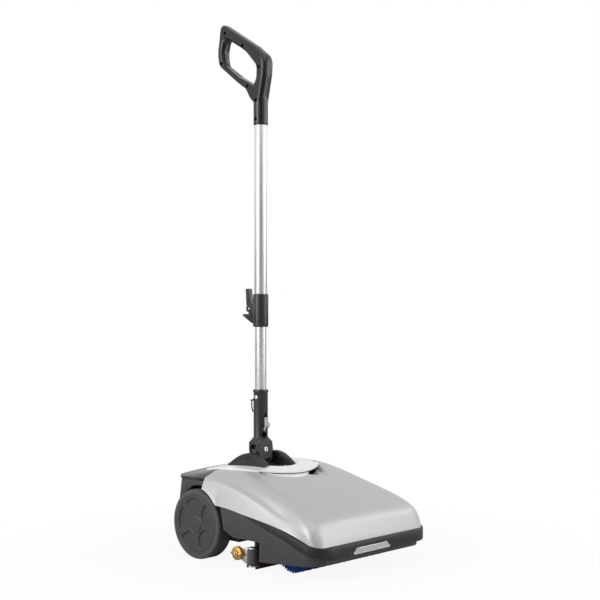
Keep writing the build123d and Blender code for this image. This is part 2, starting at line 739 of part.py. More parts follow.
with BuildPart() as saddle:
    add(saddle_base)
    block(
        (-SADDLE_HALF, SADDLE_HALF),
        (FRONT_Y, CAP_REAR_Y),
        (0, SADDLE_BASE_Z + SADDLE_T),
        Mode.INTERSECT,
    )
    add(lobes.part)
    block(
        (-PEDESTAL_HALF_X, PEDESTAL_HALF_X),
        (BRIDGE_REAR_Y - 2 * PEDESTAL_HALF_Y, BRIDGE_REAR_Y),
        (BRIDGE_Z, SADDLE_BASE_Z),
    )
    block(
        (-PEDESTAL_HALF_X + PEDESTAL_WALL, PEDESTAL_HALF_X - PEDESTAL_WALL),
        (BRIDGE_REAR_Y - 2 * PEDESTAL_HALF_Y + PEDESTAL_WALL, BRIDGE_REAR_Y - PEDESTAL_WALL),
        (BRIDGE_Z, TILT_Z - FORK_ROOM_R - PEDESTAL_WALL),
        Mode.SUBTRACT,
    )
    rod_x(FORK_ROOM_R, -LOBE_IN_X, LOBE_IN_X, HANDLE_Y, TILT_Z, Mode.SUBTRACT)
    rod_x(TILT_PIN_R + FIT, -LOBE_OUT_X, LOBE_OUT_X, HANDLE_Y, TILT_Z, Mode.SUBTRACT)
finish(saddle.part, "saddle")

with BuildPart() as tilt_pin:
    rod_x(TILT_PIN_R, -LOBE_OUT_X, LOBE_OUT_X, HANDLE_Y, TILT_Z)
finish(tilt_pin.part, "tilt_pin")

# Wheels: tyre with rounded shoulders, hub with five pockets round a boss
for side, word in ((-1, "right"), (1, "left")):
    face_plane = Plane((side * WHEEL_OUT_X, AXLE_Y, AXLE_Z), x_dir=(0, 1, 0), z_dir=(side, 0, 0))
    with BuildPart() as tyre:
        rod_x(WHEEL_D / 2, side * WHEEL_IN_X, side * WHEEL_OUT_X, AXLE_Y, AXLE_Z)
        fillet(tyre.edges().filter_by(GeomType.CIRCLE), TYRE_ROUND)
        rod_x(HUB_R, side * WHEEL_IN_X, side * WHEEL_OUT_X, AXLE_Y, AXLE_Z, Mode.SUBTRACT)
    finish(tyre.part, f"wheel_tyre_{word}")
    with BuildPart() as hub:
        rod_x(HUB_R, side * WHEEL_IN_X, side * WHEEL_OUT_X, AXLE_Y, AXLE_Z)
        rod_x(HUB_R - HUB_RIM, side * WHEEL_IN_X, side * WEB_IN_X, AXLE_Y, AXLE_Z, Mode.SUBTRACT)
        rod_x(HUB_SLEEVE_R, side * WHEEL_IN_X, side * WEB_IN_X, AXLE_Y, AXLE_Z)
        rod_x(AXLE_D / 2 + FIT, side * WHEEL_IN_X, side * (AXLE_END_X + GAP), AXLE_Y, AXLE_Z, Mode.SUBTRACT)
        rod_x(HUB_BOSS_R, side * WHEEL_OUT_X, side * (WHEEL_OUT_X + BOSS_PROUD), AXLE_Y, AXLE_Z)
        with BuildSketch(face_plane) as pockets:
            Circle(HUB_R - HUB_RIM)
            Circle(HUB_BOSS_R + POCKET_GAP, mode=Mode.SUBTRACT)
            with PolarLocations(0, HUB_SPOKES, start_angle=90):
                Rectangle(HUB_R, HUB_SPOKE_W, align=(Align.MIN, Align.CENTER), mode=Mode.SUBTRACT)
            fillet(pockets.vertices(), POCKET_ROUND)
        extrude(amount=-POCKET_DEPTH, mode=Mode.SUBTRACT)
    finish(hub.part, f"wheel_hub_{word}")

# Brush: core with stub shafts, sleeve with its bristles, and belt pulley
with BuildPart() as brush_core:
    rod_x(BRUSH_CORE_R, -BRUSH_RIGHT_X, BRUSH_LEFT_X, BRUSH_Y, BRUSH_Z)
    rod_x(SHAFT_R, -BEARING_X + GAP, BEARING_X - GAP, BRUSH_Y, BRUSH_Z)
finish(brush_core.part, "brush_core")

BRUSH_LENGTH = BRUSH_LEFT_X + BRUSH_RIGHT_X
STRAND_LENGTH = BRUSH_R - BRUSH_SLEEVE_R
RING_PITCH = BRUSH_LENGTH / BRUSH_RINGS
TUFT_ANGLE = 360 / BRUSH_TUFTS


def strand(ring, tuft):
    """One three-sided strand, rooted just inside the sleeve and cut square at its tip."""
    angle = math.radians((tuft + ring / 2 % 1) * TUFT_ANGLE)
    out = Vector(0, math.sin(angle), -math.cos(angle))
    x = -BRUSH_RIGHT_X + (ring + 0.5) * RING_PITCH
    root = Vector(x, BRUSH_Y, BRUSH_Z) + out * (BRUSH_SLEEVE_R - TUFT_SIDE)
    base = Plane(root, x_dir=(1, 0, 0), z_dir=out)
    return extrude(base * RegularPolygon(TUFT_SIDE, 3), STRAND_LENGTH + TUFT_SIDE)


strands = [strand(ring, tuft) for ring in range(BRUSH_RINGS) for tuft in range(BRUSH_TUFTS)]
with BuildPart() as brush_bristles:
    rod_x(BRUSH_SLEEVE_R, -BRUSH_RIGHT_X, BRUSH_LEFT_X, BRUSH_Y, BRUSH_Z)
    rod_x(BRUSH_CORE_R, -BRUSH_RIGHT_X, BRUSH_LEFT_X, BRUSH_Y, BRUSH_Z, Mode.SUBTRACT)
    add(strands)
finish(brush_bristles.part, "brush_bristles")

with BuildPart() as brush_pulley:
    rod_x(BRUSH_PULLEY_R, PULLEY_X, PULLEY_X + PULLEY_W, BRUSH_Y, BRUSH_Z)
    rod_x(SHAFT_R, PULLEY_X, PULLEY_X + PULLEY_W, BRUSH_Y, BRUSH_Z, Mode.SUBTRACT)
finish(brush_pulley.part, "brush_pulley")

# Brush motor on the deck, its pulley, and the belt round both pulleys
MOTOR_END_X = POST_X - POST_BOSS_R - GAP
with BuildPart() as brush_motor:
    rod_x(MOTOR_R, MOTOR_END_X - MOTOR_LENGTH, MOTOR_END_X, MOTOR_Y, MOTOR_Z)
    rod_x(MOTOR_SHAFT_R, MOTOR_END_X, PULLEY_X + PULLEY_W, MOTOR_Y, MOTOR_Z)
finish(brush_motor.part, "brush_motor")

with BuildPart() as motor_pulley:
    rod_x(MOTOR_PULLEY_R, PULLEY_X, PULLEY_X + PULLEY_W, MOTOR_Y, MOTOR_Z)
    rod_x(MOTOR_SHAFT_R + FIT, PULLEY_X, PULLEY_X + PULLEY_W, MOTOR_Y, MOTOR_Z, Mode.SUBTRACT)
finish(motor_pulley.part, "motor_pulley")


def belt_outline(grow):
    """Plate bounded by two circles and their outer tangents."""
    with BuildPart() as solid:
        with BuildSketch(Plane.YZ.offset(PULLEY_X)):
            with Locations((BRUSH_Y, BRUSH_Z)):
                Circle(BRUSH_PULLEY_R + grow)
            with Locations((MOTOR_Y, MOTOR_Z)):
                Circle(MOTOR_PULLEY_R + grow)
            make_hull()
        extrude(amount=PULLEY_W)
    return solid.part


belt_outer = belt_outline(BELT_GAP + BELT_T)
belt_inner = belt_outline(BELT_GAP)
with BuildPart() as drive_belt:
    add(belt_outer)
    add(belt_inner, mode=Mode.SUBTRACT)
finish(drive_belt.part, "drive_belt")

# Squeegee: holder on two sliding posts, lips, end brackets, boot, thumb nuts and rollers
SQUEEGEE_FRONT_Y = SQUEEGEE_Y - SQUEEGEE_DEPTH / 2
SQUEEGEE_REAR_Y = SQUEEGEE_Y + SQUEEGEE_DEPTH / 2
NUT_Y = SQUEEGEE_Y + NUT_OFFSET
ROLLER_Y = SQUEEGEE_Y - ROLLER_OFFSET
BRACKET_X = SQUEEGEE_HALF
ROLLER_X = SQUEEGEE_HALF + BRACKET_T + ROLLER_R + GAP
BOOT_R = SPIGOT_R + BOOT_GAP
with BuildPart() as squeegee_holder:
    block(
        (-SQUEEGEE_HALF, SQUEEGEE_HALF),
        (SQUEEGEE_FRONT_Y, SQUEEGEE_REAR_Y),
        (SQUEEGEE_LOW_Z, SQUEEGEE_HIGH_Z),
    )
    fillet(squeegee_holder.edges().filter_by(Axis.X).group_by(Axis.Z)[-1], SQUEEGEE_DEPTH / 6)
    block(
        (-SQUEEGEE_HALF + SIDE_WALL, SQUEEGEE_HALF - SIDE_WALL),
        (SQUEEGEE_FRONT_Y + SIDE_WALL, SQUEEGEE_REAR_Y - SIDE_WALL),
        (SQUEEGEE_LOW_Z, SQUEEGEE_HIGH_Z - SIDE_WALL),
        Mode.SUBTRACT,
    )
    for side in (-1, 1):
        rod_z(POST_R, SQUEEGEE_HIGH_Z - SIDE_WALL, DECK_Z + POST_BOSS_H, side * POST_X, SQUEEGEE_Y)
    rod_z(BOOT_R, SQUEEGEE_LOW_Z, SQUEEGEE_HIGH_Z, 0, SQUEEGEE_Y, Mode.SUBTRACT)
finish(squeegee_holder.part, "squeegee_holder")

with BuildPart() as suction_boot:
    rod_z(BOOT_R + BOOT_T, SQUEEGEE_HIGH_Z, SQUEEGEE_HIGH_Z + BOOT_H, 0, SQUEEGEE_Y)
    rod_z(BOOT_R, SQUEEGEE_HIGH_Z, SQUEEGEE_HIGH_Z + BOOT_H, 0, SQUEEGEE_Y, Mode.SUBTRACT)
finish(suction_boot.part, "suction_boot")

LIP_HIGH_Z = SQUEEGEE_LOW_Z + LIP_T * 4
for name, y_from, y_to in (
    ("squeegee_front_lip", SQUEEGEE_FRONT_Y - LIP_T, SQUEEGEE_FRONT_Y),
    ("squeegee_rear_lip", SQUEEGEE_REAR_Y, SQUEEGEE_REAR_Y + LIP_T),
):
    with BuildPart() as lip:
        block((-SQUEEGEE_HALF, SQUEEGEE_HALF), (y_from, y_to), (LIP_CLEAR, LIP_HIGH_Z))
    finish(lip.part, name)

ARM_TOP_Z = ROLLER_LOW_Z - GAP
BRACKET_LOW_Z = ARM_TOP_Z - BRACKET_T
with BuildPart() as squeegee_brackets:
    for side in (-1, 1):
        with BuildSketch(Plane.YZ.offset(side * BRACKET_X)):
            with BuildLine():
                Polyline(
                    (SQUEEGEE_FRONT_Y - LIP_T, BRACKET_LOW_Z),
                    (SQUEEGEE_FRONT_Y - LIP_T, SQUEEGEE_HIGH_Z),
                    (SQUEEGEE_REAR_Y, SQUEEGEE_HIGH_Z),
                    (NUT_Y + NUT_R / 2, NUT_Z + NUT_R / 2),
                    (NUT_Y + NUT_R / 2, NUT_Z - NUT_R / 2),
                    (SQUEEGEE_REAR_Y + LIP_T, BRACKET_LOW_Z),
                    close=True,
                )
            make_face()
        extrude(amount=side * BRACKET_T)
        rod_x(STUD_R, side * BRACKET_X, side * (BRACKET_X + BRACKET_T + 2 * NUT_W), NUT_Y, NUT_Z)
        block(
            sorted((side * BRACKET_X, side * ROLLER_X)),
            (ROLLER_Y - ROLLER_HEAD_R, ROLLER_Y + ROLLER_HEAD_R),
            (BRACKET_LOW_Z, ARM_TOP_Z),
        )
        rod_z(ROLLER_HEAD_R, BRACKET_LOW_Z, ARM_TOP_Z, side * ROLLER_X, ROLLER_Y)
finish(squeegee_brackets.part, "squeegee_brackets")

NUT_X = BRACKET_X + BRACKET_T + GAP
NUT_END_X = NUT_X + NUT_W
NUT_GROOVE = NUT_W / 3
WING_T = NUT_W / 2
ROLLER_END_Z = ROLLER_LOW_Z + ROLLER_H
for side, word in ((-1, "right"), (1, "left")):
    with BuildPart() as nut:
        rod_x(NUT_R, side * NUT_X, side * NUT_END_X, NUT_Y, NUT_Z)
        groove = (side * (NUT_X + NUT_GROOVE), side * (NUT_END_X - NUT_GROOVE))
        rod_x(NUT_R, *groove, NUT_Y, NUT_Z, Mode.SUBTRACT)
        rod_x(NUT_R - NUT_GROOVE, side * NUT_X, side * NUT_END_X, NUT_Y, NUT_Z)
        rod_x(NUT_R / 2, side * NUT_X, side * (NUT_END_X + WING_T), NUT_Y, NUT_Z)
        with Locations((side * (NUT_END_X + WING_T / 2), NUT_Y, NUT_Z)):
            Box(WING_T, 2 * NUT_R, WING_T)
        rod_x(STUD_R + FIT, side * NUT_X, side * (NUT_END_X + WING_T), NUT_Y, NUT_Z, Mode.SUBTRACT)
    finish(nut.part, f"thumb_nut_{word}")
    with BuildPart() as roller:
        rod_z(ROLLER_R, ROLLER_LOW_Z, ROLLER_END_Z, side * ROLLER_X, ROLLER_Y)
        fillet(roller.edges().filter_by(GeomType.CIRCLE), ROLLER_R / 5)
        rod_z(ROLLER_BOLT_R + FIT, ROLLER_LOW_Z, ROLLER_END_Z, side * ROLLER_X, ROLLER_Y, Mode.SUBTRACT)
    finish(roller.part, f"guide_roller_{word}")

ROLLER_TOP_Z = ROLLER_END_Z + GAP
with BuildPart() as roller_bolts:
    for side in (-1, 1):
        rod_z(ROLLER_BOLT_R, ARM_TOP_Z, ROLLER_TOP_Z, side * ROLLER_X, ROLLER_Y)
        rod_z(ROLLER_HEAD_R, ROLLER_TOP_Z, ROLLER_TOP_Z + ROLLER_HEAD_H, side * ROLLER_X, ROLLER_Y)
    chamfer(roller_bolts.edges().group_by(Axis.Z)[-1], ROLLER_HEAD_H / 4)
finish(roller_bolts.part, "roller_bolts")

# Tanks: clean water over the brush tunnel, dirty water on the deck with its suction spigot
TUNNEL_TOP_Z = BRUSH_Z + TUNNEL_R + TUNNEL_T
TANK_HALF = POST_X - POST_BOSS_R - GAP
TANK_FRONT_Y = BRUSH_Y - TUNNEL_R + TANK_GAP
TANK_SPLIT_Y = MOTOR_Y - MOTOR_R - GAP
TANK_TOP_Z = CROWN[3][1] - TANK_GAP
solution_tank_shape = side_slab(
    [
        (TANK_FRONT_Y, TUNNEL_TOP_Z),
        (TANK_FRONT_Y, TUNNEL_TOP_Z + TANK_GAP / 2),
        (TANK_SPLIT_Y, TANK_TOP_Z),
        (TANK_SPLIT_Y, TUNNEL_TOP_Z),
    ],
    -TANK_HALF,
    TANK_HALF,
)
with BuildPart() as solution_tank:
    add(solution_tank_shape)
    fillet(solution_tank.edges().filter_by(Axis.X).group_by(Axis.Z)[-1], TANK_GAP)
finish(solution_tank.part, "solution_tank")

TANK_LEFT_X = MOTOR_END_X - MOTOR_LENGTH - TANK_GAP / 2
TANK_REAR_Y = NOTCH_REAR_Y + GAP
RECOVERY_FRONT_Y = BRUSH_Y + TUNNEL_R + TUNNEL_T + GAP
with BuildPart() as recovery_tank:
    block((-TANK_HALF, TANK_LEFT_X), (RECOVERY_FRONT_Y, TANK_REAR_Y), (DECK_Z, TANK_TOP_Z))
    fillet(recovery_tank.edges().filter_by(Axis.Z), TANK_GAP)
    rod_z(SPIGOT_R, SPIGOT_Z, DECK_Z, 0, SQUEEGEE_Y)
    rod_z(SPIGOT_R - BOOT_T, SPIGOT_Z, DECK_Z + TANK_GAP, 0, SQUEEGEE_Y, Mode.SUBTRACT)
finish(recovery_tank.part, "recovery_tank")

# Suction fan in the tub: case, bladed wheel and motor
TUB_FLOOR_TOP_Z = TUB_FLOOR_Z + TUB_WALL
FAN_TOP_Z = TUB_FLOOR_TOP_Z + FAN_H
WHEEL_LOW_Z = TUB_FLOOR_TOP_Z + FAN_WALL + FAN_RUNNING_GAP
WHEEL_TOP_Z = FAN_TOP_Z - FAN_WALL - FAN_RUNNING_GAP
FAN_WHEEL_R = FAN_R - FAN_WALL - FAN_RUNNING_GAP
with BuildPart() as fan_case:
    rod_z(FAN_R, TUB_FLOOR_TOP_Z, FAN_TOP_Z, FAN_X, FAN_Y)
    rod_z(FAN_R - FAN_WALL, TUB_FLOOR_TOP_Z + FAN_WALL, FAN_TOP_Z - FAN_WALL, FAN_X, FAN_Y, Mode.SUBTRACT)
    rod_z(FAN_R / 3, FAN_TOP_Z - FAN_WALL, FAN_TOP_Z, FAN_X, FAN_Y, Mode.SUBTRACT)
finish(fan_case.part, "fan_case")

with BuildPart() as fan_motor:
    rod_z(FAN_MOTOR_R, FAN_TOP_Z, FAN_TOP_Z + FAN_MOTOR_H, FAN_X, FAN_Y)
    rod_z(MOTOR_SHAFT_R, WHEEL_LOW_Z, FAN_TOP_Z, FAN_X, FAN_Y)
finish(fan_motor.part, "fan_motor")

with BuildPart() as fan_wheel:
    rod_z(FAN_WHEEL_R, WHEEL_LOW_Z, WHEEL_LOW_Z + FAN_WALL, FAN_X, FAN_Y)
    with Locations((FAN_X, FAN_Y, WHEEL_LOW_Z)):
        with PolarLocations(0, FAN_BLADES):
            Box(
                FAN_WHEEL_R,
                FAN_WALL,
                WHEEL_TOP_Z - WHEEL_LOW_Z,
                align=(Align.MIN, Align.CENTER, Align.MIN),
            )
    rod_z(2 * MOTOR_SHAFT_R, WHEEL_LOW_Z, WHEEL_TOP_Z, FAN_X, FAN_Y)
    rod_z(MOTOR_SHAFT_R + FIT, WHEEL_LOW_Z, WHEEL_TOP_Z, FAN_X, FAN_Y, Mode.SUBTRACT)
finish(fan_wheel.part, "fan_wheel")

# Pump, battery, control board and spray bar
with BuildPart() as water_pump:
    block((-FAN_X - FAN_R, -FAN_X + FAN_R / 2), (FAN_Y - FAN_MOTOR_R, FAN_Y), (TUB_FLOOR_TOP_Z, FAN_TOP_Z))
    rod_z(FAN_MOTOR_R / 2, FAN_TOP_Z, FAN_TOP_Z + FAN_MOTOR_H / 2, -FAN_X, FAN_Y - FAN_MOTOR_R / 2)
finish(water_pump.part, "water_pump")

with BuildPart() as battery_pack:
    block(
        (-BATTERY_X / 2, BATTERY_X / 2),
        (BATTERY_FRONT_Y, BATTERY_FRONT_Y + BATTERY_Y),
        (BATTERY_LOW_Z, BATTERY_LOW_Z + BATTERY_Z),
    )
    fillet(battery_pack.edges().filter_by(Axis.Z), RIB_T)
finish(battery_pack.part, "battery_pack")

BOARD_Y = TANK_REAR_Y + TANK_GAP
with BuildPart() as control_board:
    block((-TANK_HALF / 2, TANK_HALF / 2), (BOARD_Y, BOARD_Y + BOARD_T), (DECK_Z, BRIDGE_Z))
finish(control_board.part, "control_board")

with BuildPart() as spray_bar:
    rod_x(SPRAY_R, -TANK_HALF, TANK_HALF, BRUSH_Y - TUNNEL_R - TANK_GAP, DECK_UNDER_Z - SPRAY_R)
finish(spray_bar.part, "spray_bar")

# Joint block: folds about the cross pin and carries the bolt that the fork leans about
with BuildPart() as joint_block:
    rod_x(BLOCK_HALF_Y, -BLOCK_HALF_X, BLOCK_HALF_X, HANDLE_Y, TILT_Z)
    block(
        (-BLOCK_HALF_X, BLOCK_HALF_X),
        (HANDLE_Y - BLOCK_HALF_Y, HANDLE_Y + BLOCK_HALF_Y),
        (TILT_Z, LEAN_Z),
    )
    rod_y(BLOCK_EYE_R, HANDLE_Y - BLOCK_HALF_Y, HANDLE_Y + BLOCK_HALF_Y, 0, LEAN_Z)
    rod_x(TILT_PIN_R + FIT, -BLOCK_HALF_X, BLOCK_HALF_X, HANDLE_Y, TILT_Z, Mode.SUBTRACT)
    rod_y(LEAN_BOLT_R + FIT, HANDLE_Y - BLOCK_HALF_Y, HANDLE_Y + BLOCK_HALF_Y, 0, LEAN_Z, Mode.SUBTRACT)
finish(joint_block.part, "joint_block")

# Fork: two cheeks, shoulders drawn in to a round socket with a rim, latch slot in front
LATCH_TOP_Z = LATCH_LOW_Z + LATCH_H
with BuildPart() as fork:
    for side in (-1, 1):
        rod_y(CHEEK_R, HANDLE_Y + side * CHEEK_IN_Y, HANDLE_Y + side * CHEEK_OUT_Y, 0, LEAN_Z)
        with Locations((0, HANDLE_Y + side * (CHEEK_IN_Y + CHEEK_OUT_Y) / 2, (LEAN_Z + FORK_SHOULDER_Z) / 2)):
            Box(2 * CHEEK_R, CHEEK_OUT_Y - CHEEK_IN_Y, FORK_SHOULDER_Z - LEAN_Z)
    block(
        (-CHEEK_R, CHEEK_R),
        (HANDLE_Y - CHEEK_OUT_Y, HANDLE_Y + CHEEK_OUT_Y),
        (FORK_SHOULDER_Z, FORK_TOP_Z),
        Mode.SUBTRACT,
    )
    with BuildSketch(Plane.XY.offset(FORK_SHOULDER_Z)):
        with Locations((0, HANDLE_Y)):
            Rectangle(2 * CHEEK_R, 2 * CHEEK_OUT_Y)
    with BuildSketch(Plane.XY.offset(FORK_NECK_Z)):
        with Locations((0, HANDLE_Y)):
            Circle(FORK_R)
    loft()
    rod_z(FORK_R, FORK_NECK_Z, FORK_TOP_Z, 0, HANDLE_Y)
    rod_z(FORK_RIM_R, FORK_TOP_Z - FORK_RIM_H, FORK_TOP_Z, 0, HANDLE_Y)
    rod_y(LEAN_BOLT_R + FIT, HANDLE_Y - CHEEK_OUT_Y, HANDLE_Y + CHEEK_OUT_Y, 0, LEAN_Z, Mode.SUBTRACT)
    rod_z(LOWER_TUBE_R + FIT, SOCKET_Z, FORK_TOP_Z, 0, HANDLE_Y, Mode.SUBTRACT)
    rod_x(LOCK_PIN_R + FIT, -FORK_RIM_R, FORK_RIM_R, HANDLE_Y, LOCK_Z, Mode.SUBTRACT)
    rod_x(LOCK_HEAD_R + FIT, -FORK_RIM_R, -FORK_R + LOCK_HEAD_H, HANDLE_Y, LOCK_Z, Mode.SUBTRACT)
    block(
        (-LATCH_HALF_X - LATCH_GAP, LATCH_HALF_X + LATCH_GAP),
        (HANDLE_Y - LATCH_OUT_Y, HANDLE_Y - LATCH_IN_Y + LATCH_GAP),
        (LATCH_LOW_Z - LATCH_GAP, LATCH_TOP_Z + LATCH_TRAVEL + LATCH_GAP),
        Mode.SUBTRACT,
    )
finish(fork.part, "fork")

with BuildPart() as fork_bolt:
    rod_y(LEAN_BOLT_R, HANDLE_Y - CHEEK_OUT_Y, HANDLE_Y + CHEEK_OUT_Y + BOLT_HEAD_H, 0, LEAN_Z)
    rod_y(BOLT_HEAD_R, HANDLE_Y - CHEEK_OUT_Y - BOLT_HEAD_H, HANDLE_Y - CHEEK_OUT_Y, 0, LEAN_Z)
    chamfer(fork_bolt.edges().group_by(Axis.Y)[0], BOLT_HEAD_H / 4)
finish(fork_bolt.part, "fork_bolt")

with BuildPart() as fork_nut:
    with BuildSketch(Plane.XZ.offset(-HANDLE_Y - CHEEK_OUT_Y)):
        with Locations((0, LEAN_Z)):
            RegularPolygon(BOLT_HEAD_R, 6)
            Circle(LEAN_BOLT_R + FIT, mode=Mode.SUBTRACT)
    extrude(amount=-BOLT_HEAD_H)
finish(fork_nut.part, "fork_nut")

with BuildPart() as tilt_latch:
    block(
        (-LATCH_HALF_X, LATCH_HALF_X),
        (HANDLE_Y - LATCH_OUT_Y, HANDLE_Y - LATCH_IN_Y),
        (LATCH_LOW_Z, LATCH_TOP_Z),
    )
    fillet(tilt_latch.edges().filter_by(Axis.X).group_by(Axis.Y)[0], LATCH_HALF_X)
    block(
        (-LATCH_TAB_HALF_X, LATCH_TAB_HALF_X),
        (HANDLE_Y - LATCH_TAB_OUT, HANDLE_Y - LATCH_OUT_Y + LATCH_HALF_X / 2),
        (LATCH_LOW_Z + LATCH_HALF_X, LATCH_LOW_Z + LATCH_HALF_X + LATCH_TAB_H),
    )
finish(tilt_latch.part, "tilt_latch")

with BuildPart() as lock_pin:
    rod_x(LOCK_PIN_R, -FORK_R, FORK_R + LOCK_OUT, HANDLE_Y, LOCK_Z)
    rod_x(LOCK_HEAD_R, -FORK_R, -FORK_R + LOCK_HEAD_H, HANDLE_Y, LOCK_Z)
finish(lock_pin.part, "lock_pin")

CLIP_HALF_X = LOCK_HEAD_R
with BuildPart() as pin_clip:
    block(
        (-CLIP_HALF_X, CLIP_HALF_X),
        (HANDLE_Y + FORK_R - LOCK_OUT, HANDLE_Y + FORK_R + LOCK_OUT),
        (LOCK_Z - 6 * CLIP_HALF_X, LOCK_Z - LOCK_HEAD_R),
    )
    fillet(pin_clip.edges().filter_by(Axis.X).group_by(Axis.Y)[-1], LOCK_OUT / 2)
    rod_z(FORK_R, SOCKET_Z, FORK_TOP_Z, 0, HANDLE_Y, Mode.SUBTRACT)
finish(pin_clip.part, "pin_clip")

# Telescopic tubes
with BuildPart() as lower_tube:
    rod_z(LOWER_TUBE_R, SOCKET_Z, LOWER_TUBE_TOP_Z, 0, HANDLE_Y)
    rod_z(LOWER_TUBE_R - LOWER_TUBE_WALL, SOCKET_Z, LOWER_TUBE_TOP_Z, 0, HANDLE_Y, Mode.SUBTRACT)
    rod_x(LOCK_PIN_R + FIT, -LOWER_TUBE_R, LOWER_TUBE_R, HANDLE_Y, LOCK_Z, Mode.SUBTRACT)
finish(lower_tube.part, "lower_tube")

UPPER_TUBE_LOW_Z = CLAMP_LOW_Z + CLAMP_LIP
UPPER_TUBE_TOP_Z = GRIP_LOW_Z + TUBE_IN_GRIP
NECK_SCREW_Z = GRIP_LOW_Z + NECK_SCREW_UP
with BuildPart() as upper_tube:
    rod_z(UPPER_TUBE_R, UPPER_TUBE_LOW_Z, UPPER_TUBE_TOP_Z, 0, HANDLE_Y)
    rod_z(LOWER_TUBE_R + FIT, UPPER_TUBE_LOW_Z, UPPER_TUBE_TOP_Z, 0, HANDLE_Y, Mode.SUBTRACT)
    rod_x(SCREW_HEAD_R + FIT, -UPPER_TUBE_R, 0, HANDLE_Y, NECK_SCREW_Z, Mode.SUBTRACT)
    rod_x(SCREW_R + FIT, 0, UPPER_TUBE_R, HANDLE_Y, NECK_SCREW_Z, Mode.SUBTRACT)
finish(upper_tube.part, "upper_tube")

# Clamp: sleeve with a rear lug and two ears, cam lever on a cross pin
PIVOT_Y = HANDLE_Y + CLAMP_PIVOT_Y
EAR_OUT_X = LEVER_HALF_X + LEVER_GAP + EAR_T
LUG_TOP_Z = CLAMP_PIVOT_Z - LUG_DROP
lug = side_slab(
    [
        (HANDLE_Y, CLAMP_LOW_Z + CLAMP_LIP),
        (HANDLE_Y + CLAMP_R, CLAMP_LOW_Z + CLAMP_LIP),
        (PIVOT_Y + LUG_NOSE, LUG_TOP_Z - LUG_TIP_H),
        (PIVOT_Y + LUG_NOSE - LUG_TIP_H, LUG_TOP_Z),
        (HANDLE_Y, LUG_TOP_Z),
    ],
    -EAR_OUT_X,
    EAR_OUT_X,
)
with BuildPart() as clamp_body:
    rod_z(CLAMP_R, CLAMP_LOW_Z, CLAMP_TOP_Z, 0, HANDLE_Y)
    chamfer(clamp_body.edges().group_by(Axis.Z)[0], CLAMP_LIP / 4)
    chamfer(clamp_body.edges().group_by(Axis.Z)[-1], CLAMP_LIP / 8)
    add(lug)
    for side in (-1, 1):
        ear_x = sorted((side * EAR_OUT_X, side * (LEVER_HALF_X + LEVER_GAP)))
        block(tuple(ear_x), (HANDLE_Y, PIVOT_Y), (LUG_TOP_Z, CLAMP_PIVOT_Z + CLAMP_LIP))
        rod_x(CLAMP_LIP, ear_x[0], ear_x[1], PIVOT_Y, CLAMP_PIVOT_Z)
    rod_x(CLAMP_PIN_R + FIT, -EAR_OUT_X, EAR_OUT_X, PIVOT_Y, CLAMP_PIVOT_Z, Mode.SUBTRACT)
    rod_z(UPPER_TUBE_R + FIT, UPPER_TUBE_LOW_Z, CLAMP_TOP_Z, 0, HANDLE_Y, Mode.SUBTRACT)
    rod_z(LOWER_TUBE_R + FIT, CLAMP_LOW_Z, UPPER_TUBE_LOW_Z, 0, HANDLE_Y, Mode.SUBTRACT)
finish(clamp_body.part, "clamp_body")

lever_profile = [(-4, -LEVER_ROOT), (6, -LEVER_ROOT), (12, 10), (14, 43), (8, 45), (4, 16), (-4, LEVER_ROOT)]
lever_points = [(PIVOT_Y + y, CLAMP_PIVOT_Z + z) for y, z in lever_profile]
lever_shape = side_slab(lever_points, -LEVER_HALF_X, LEVER_HALF_X)
with BuildPart() as clamp_lever:
    add(lever_shape)
    fillet(clamp_lever.edges().filter_by(Axis.X).group_by(Axis.Z)[-1], CLAMP_PIN_R)
    rod_x(CLAMP_PIN_R + FIT, -LEVER_HALF_X, LEVER_HALF_X, PIVOT_Y, CLAMP_PIVOT_Z, Mode.SUBTRACT)
finish(clamp_lever.part, "clamp_lever")

with BuildPart() as clamp_pin:
    rod_x(CLAMP_PIN_R, -EAR_OUT_X, EAR_OUT_X, PIVOT_Y, CLAMP_PIVOT_Z)
finish(clamp_pin.part, "clamp_pin")

# Grip: two half shells of a closed loop handle, split down the middle and screwed together
NECK_HALF = GRIP_HALF_X
GRIP_OUTER = [
    (-NECK_HALF, 0),
    (-NECK_HALF, 58),
    (-23, 116),
    (-23, 136),
    (9.5, 168.5),
    (120, 243.5),
    (131.4, 164),
    (126, 134),
    (35, 68),
    (NECK_HALF, 40),
    (NECK_HALF, 0),
]
GRIP_INNER = [(5, 132), (42, 169), (100, 203), (111, 176), (108, 146), (62, 114), (14, 92), (5, 106)]
GRIP_SCREWS = [(101, 216), (43, 180), (-9, 126), (27, 88), (115, 150), (0, 54), (0, NECK_SCREW_UP)]


def in_grip(points):
    """Points given from the foot of the grip on the handle axis, placed on the machine."""
    return [(HANDLE_Y + y, GRIP_LOW_Z + z) for y, z in points]


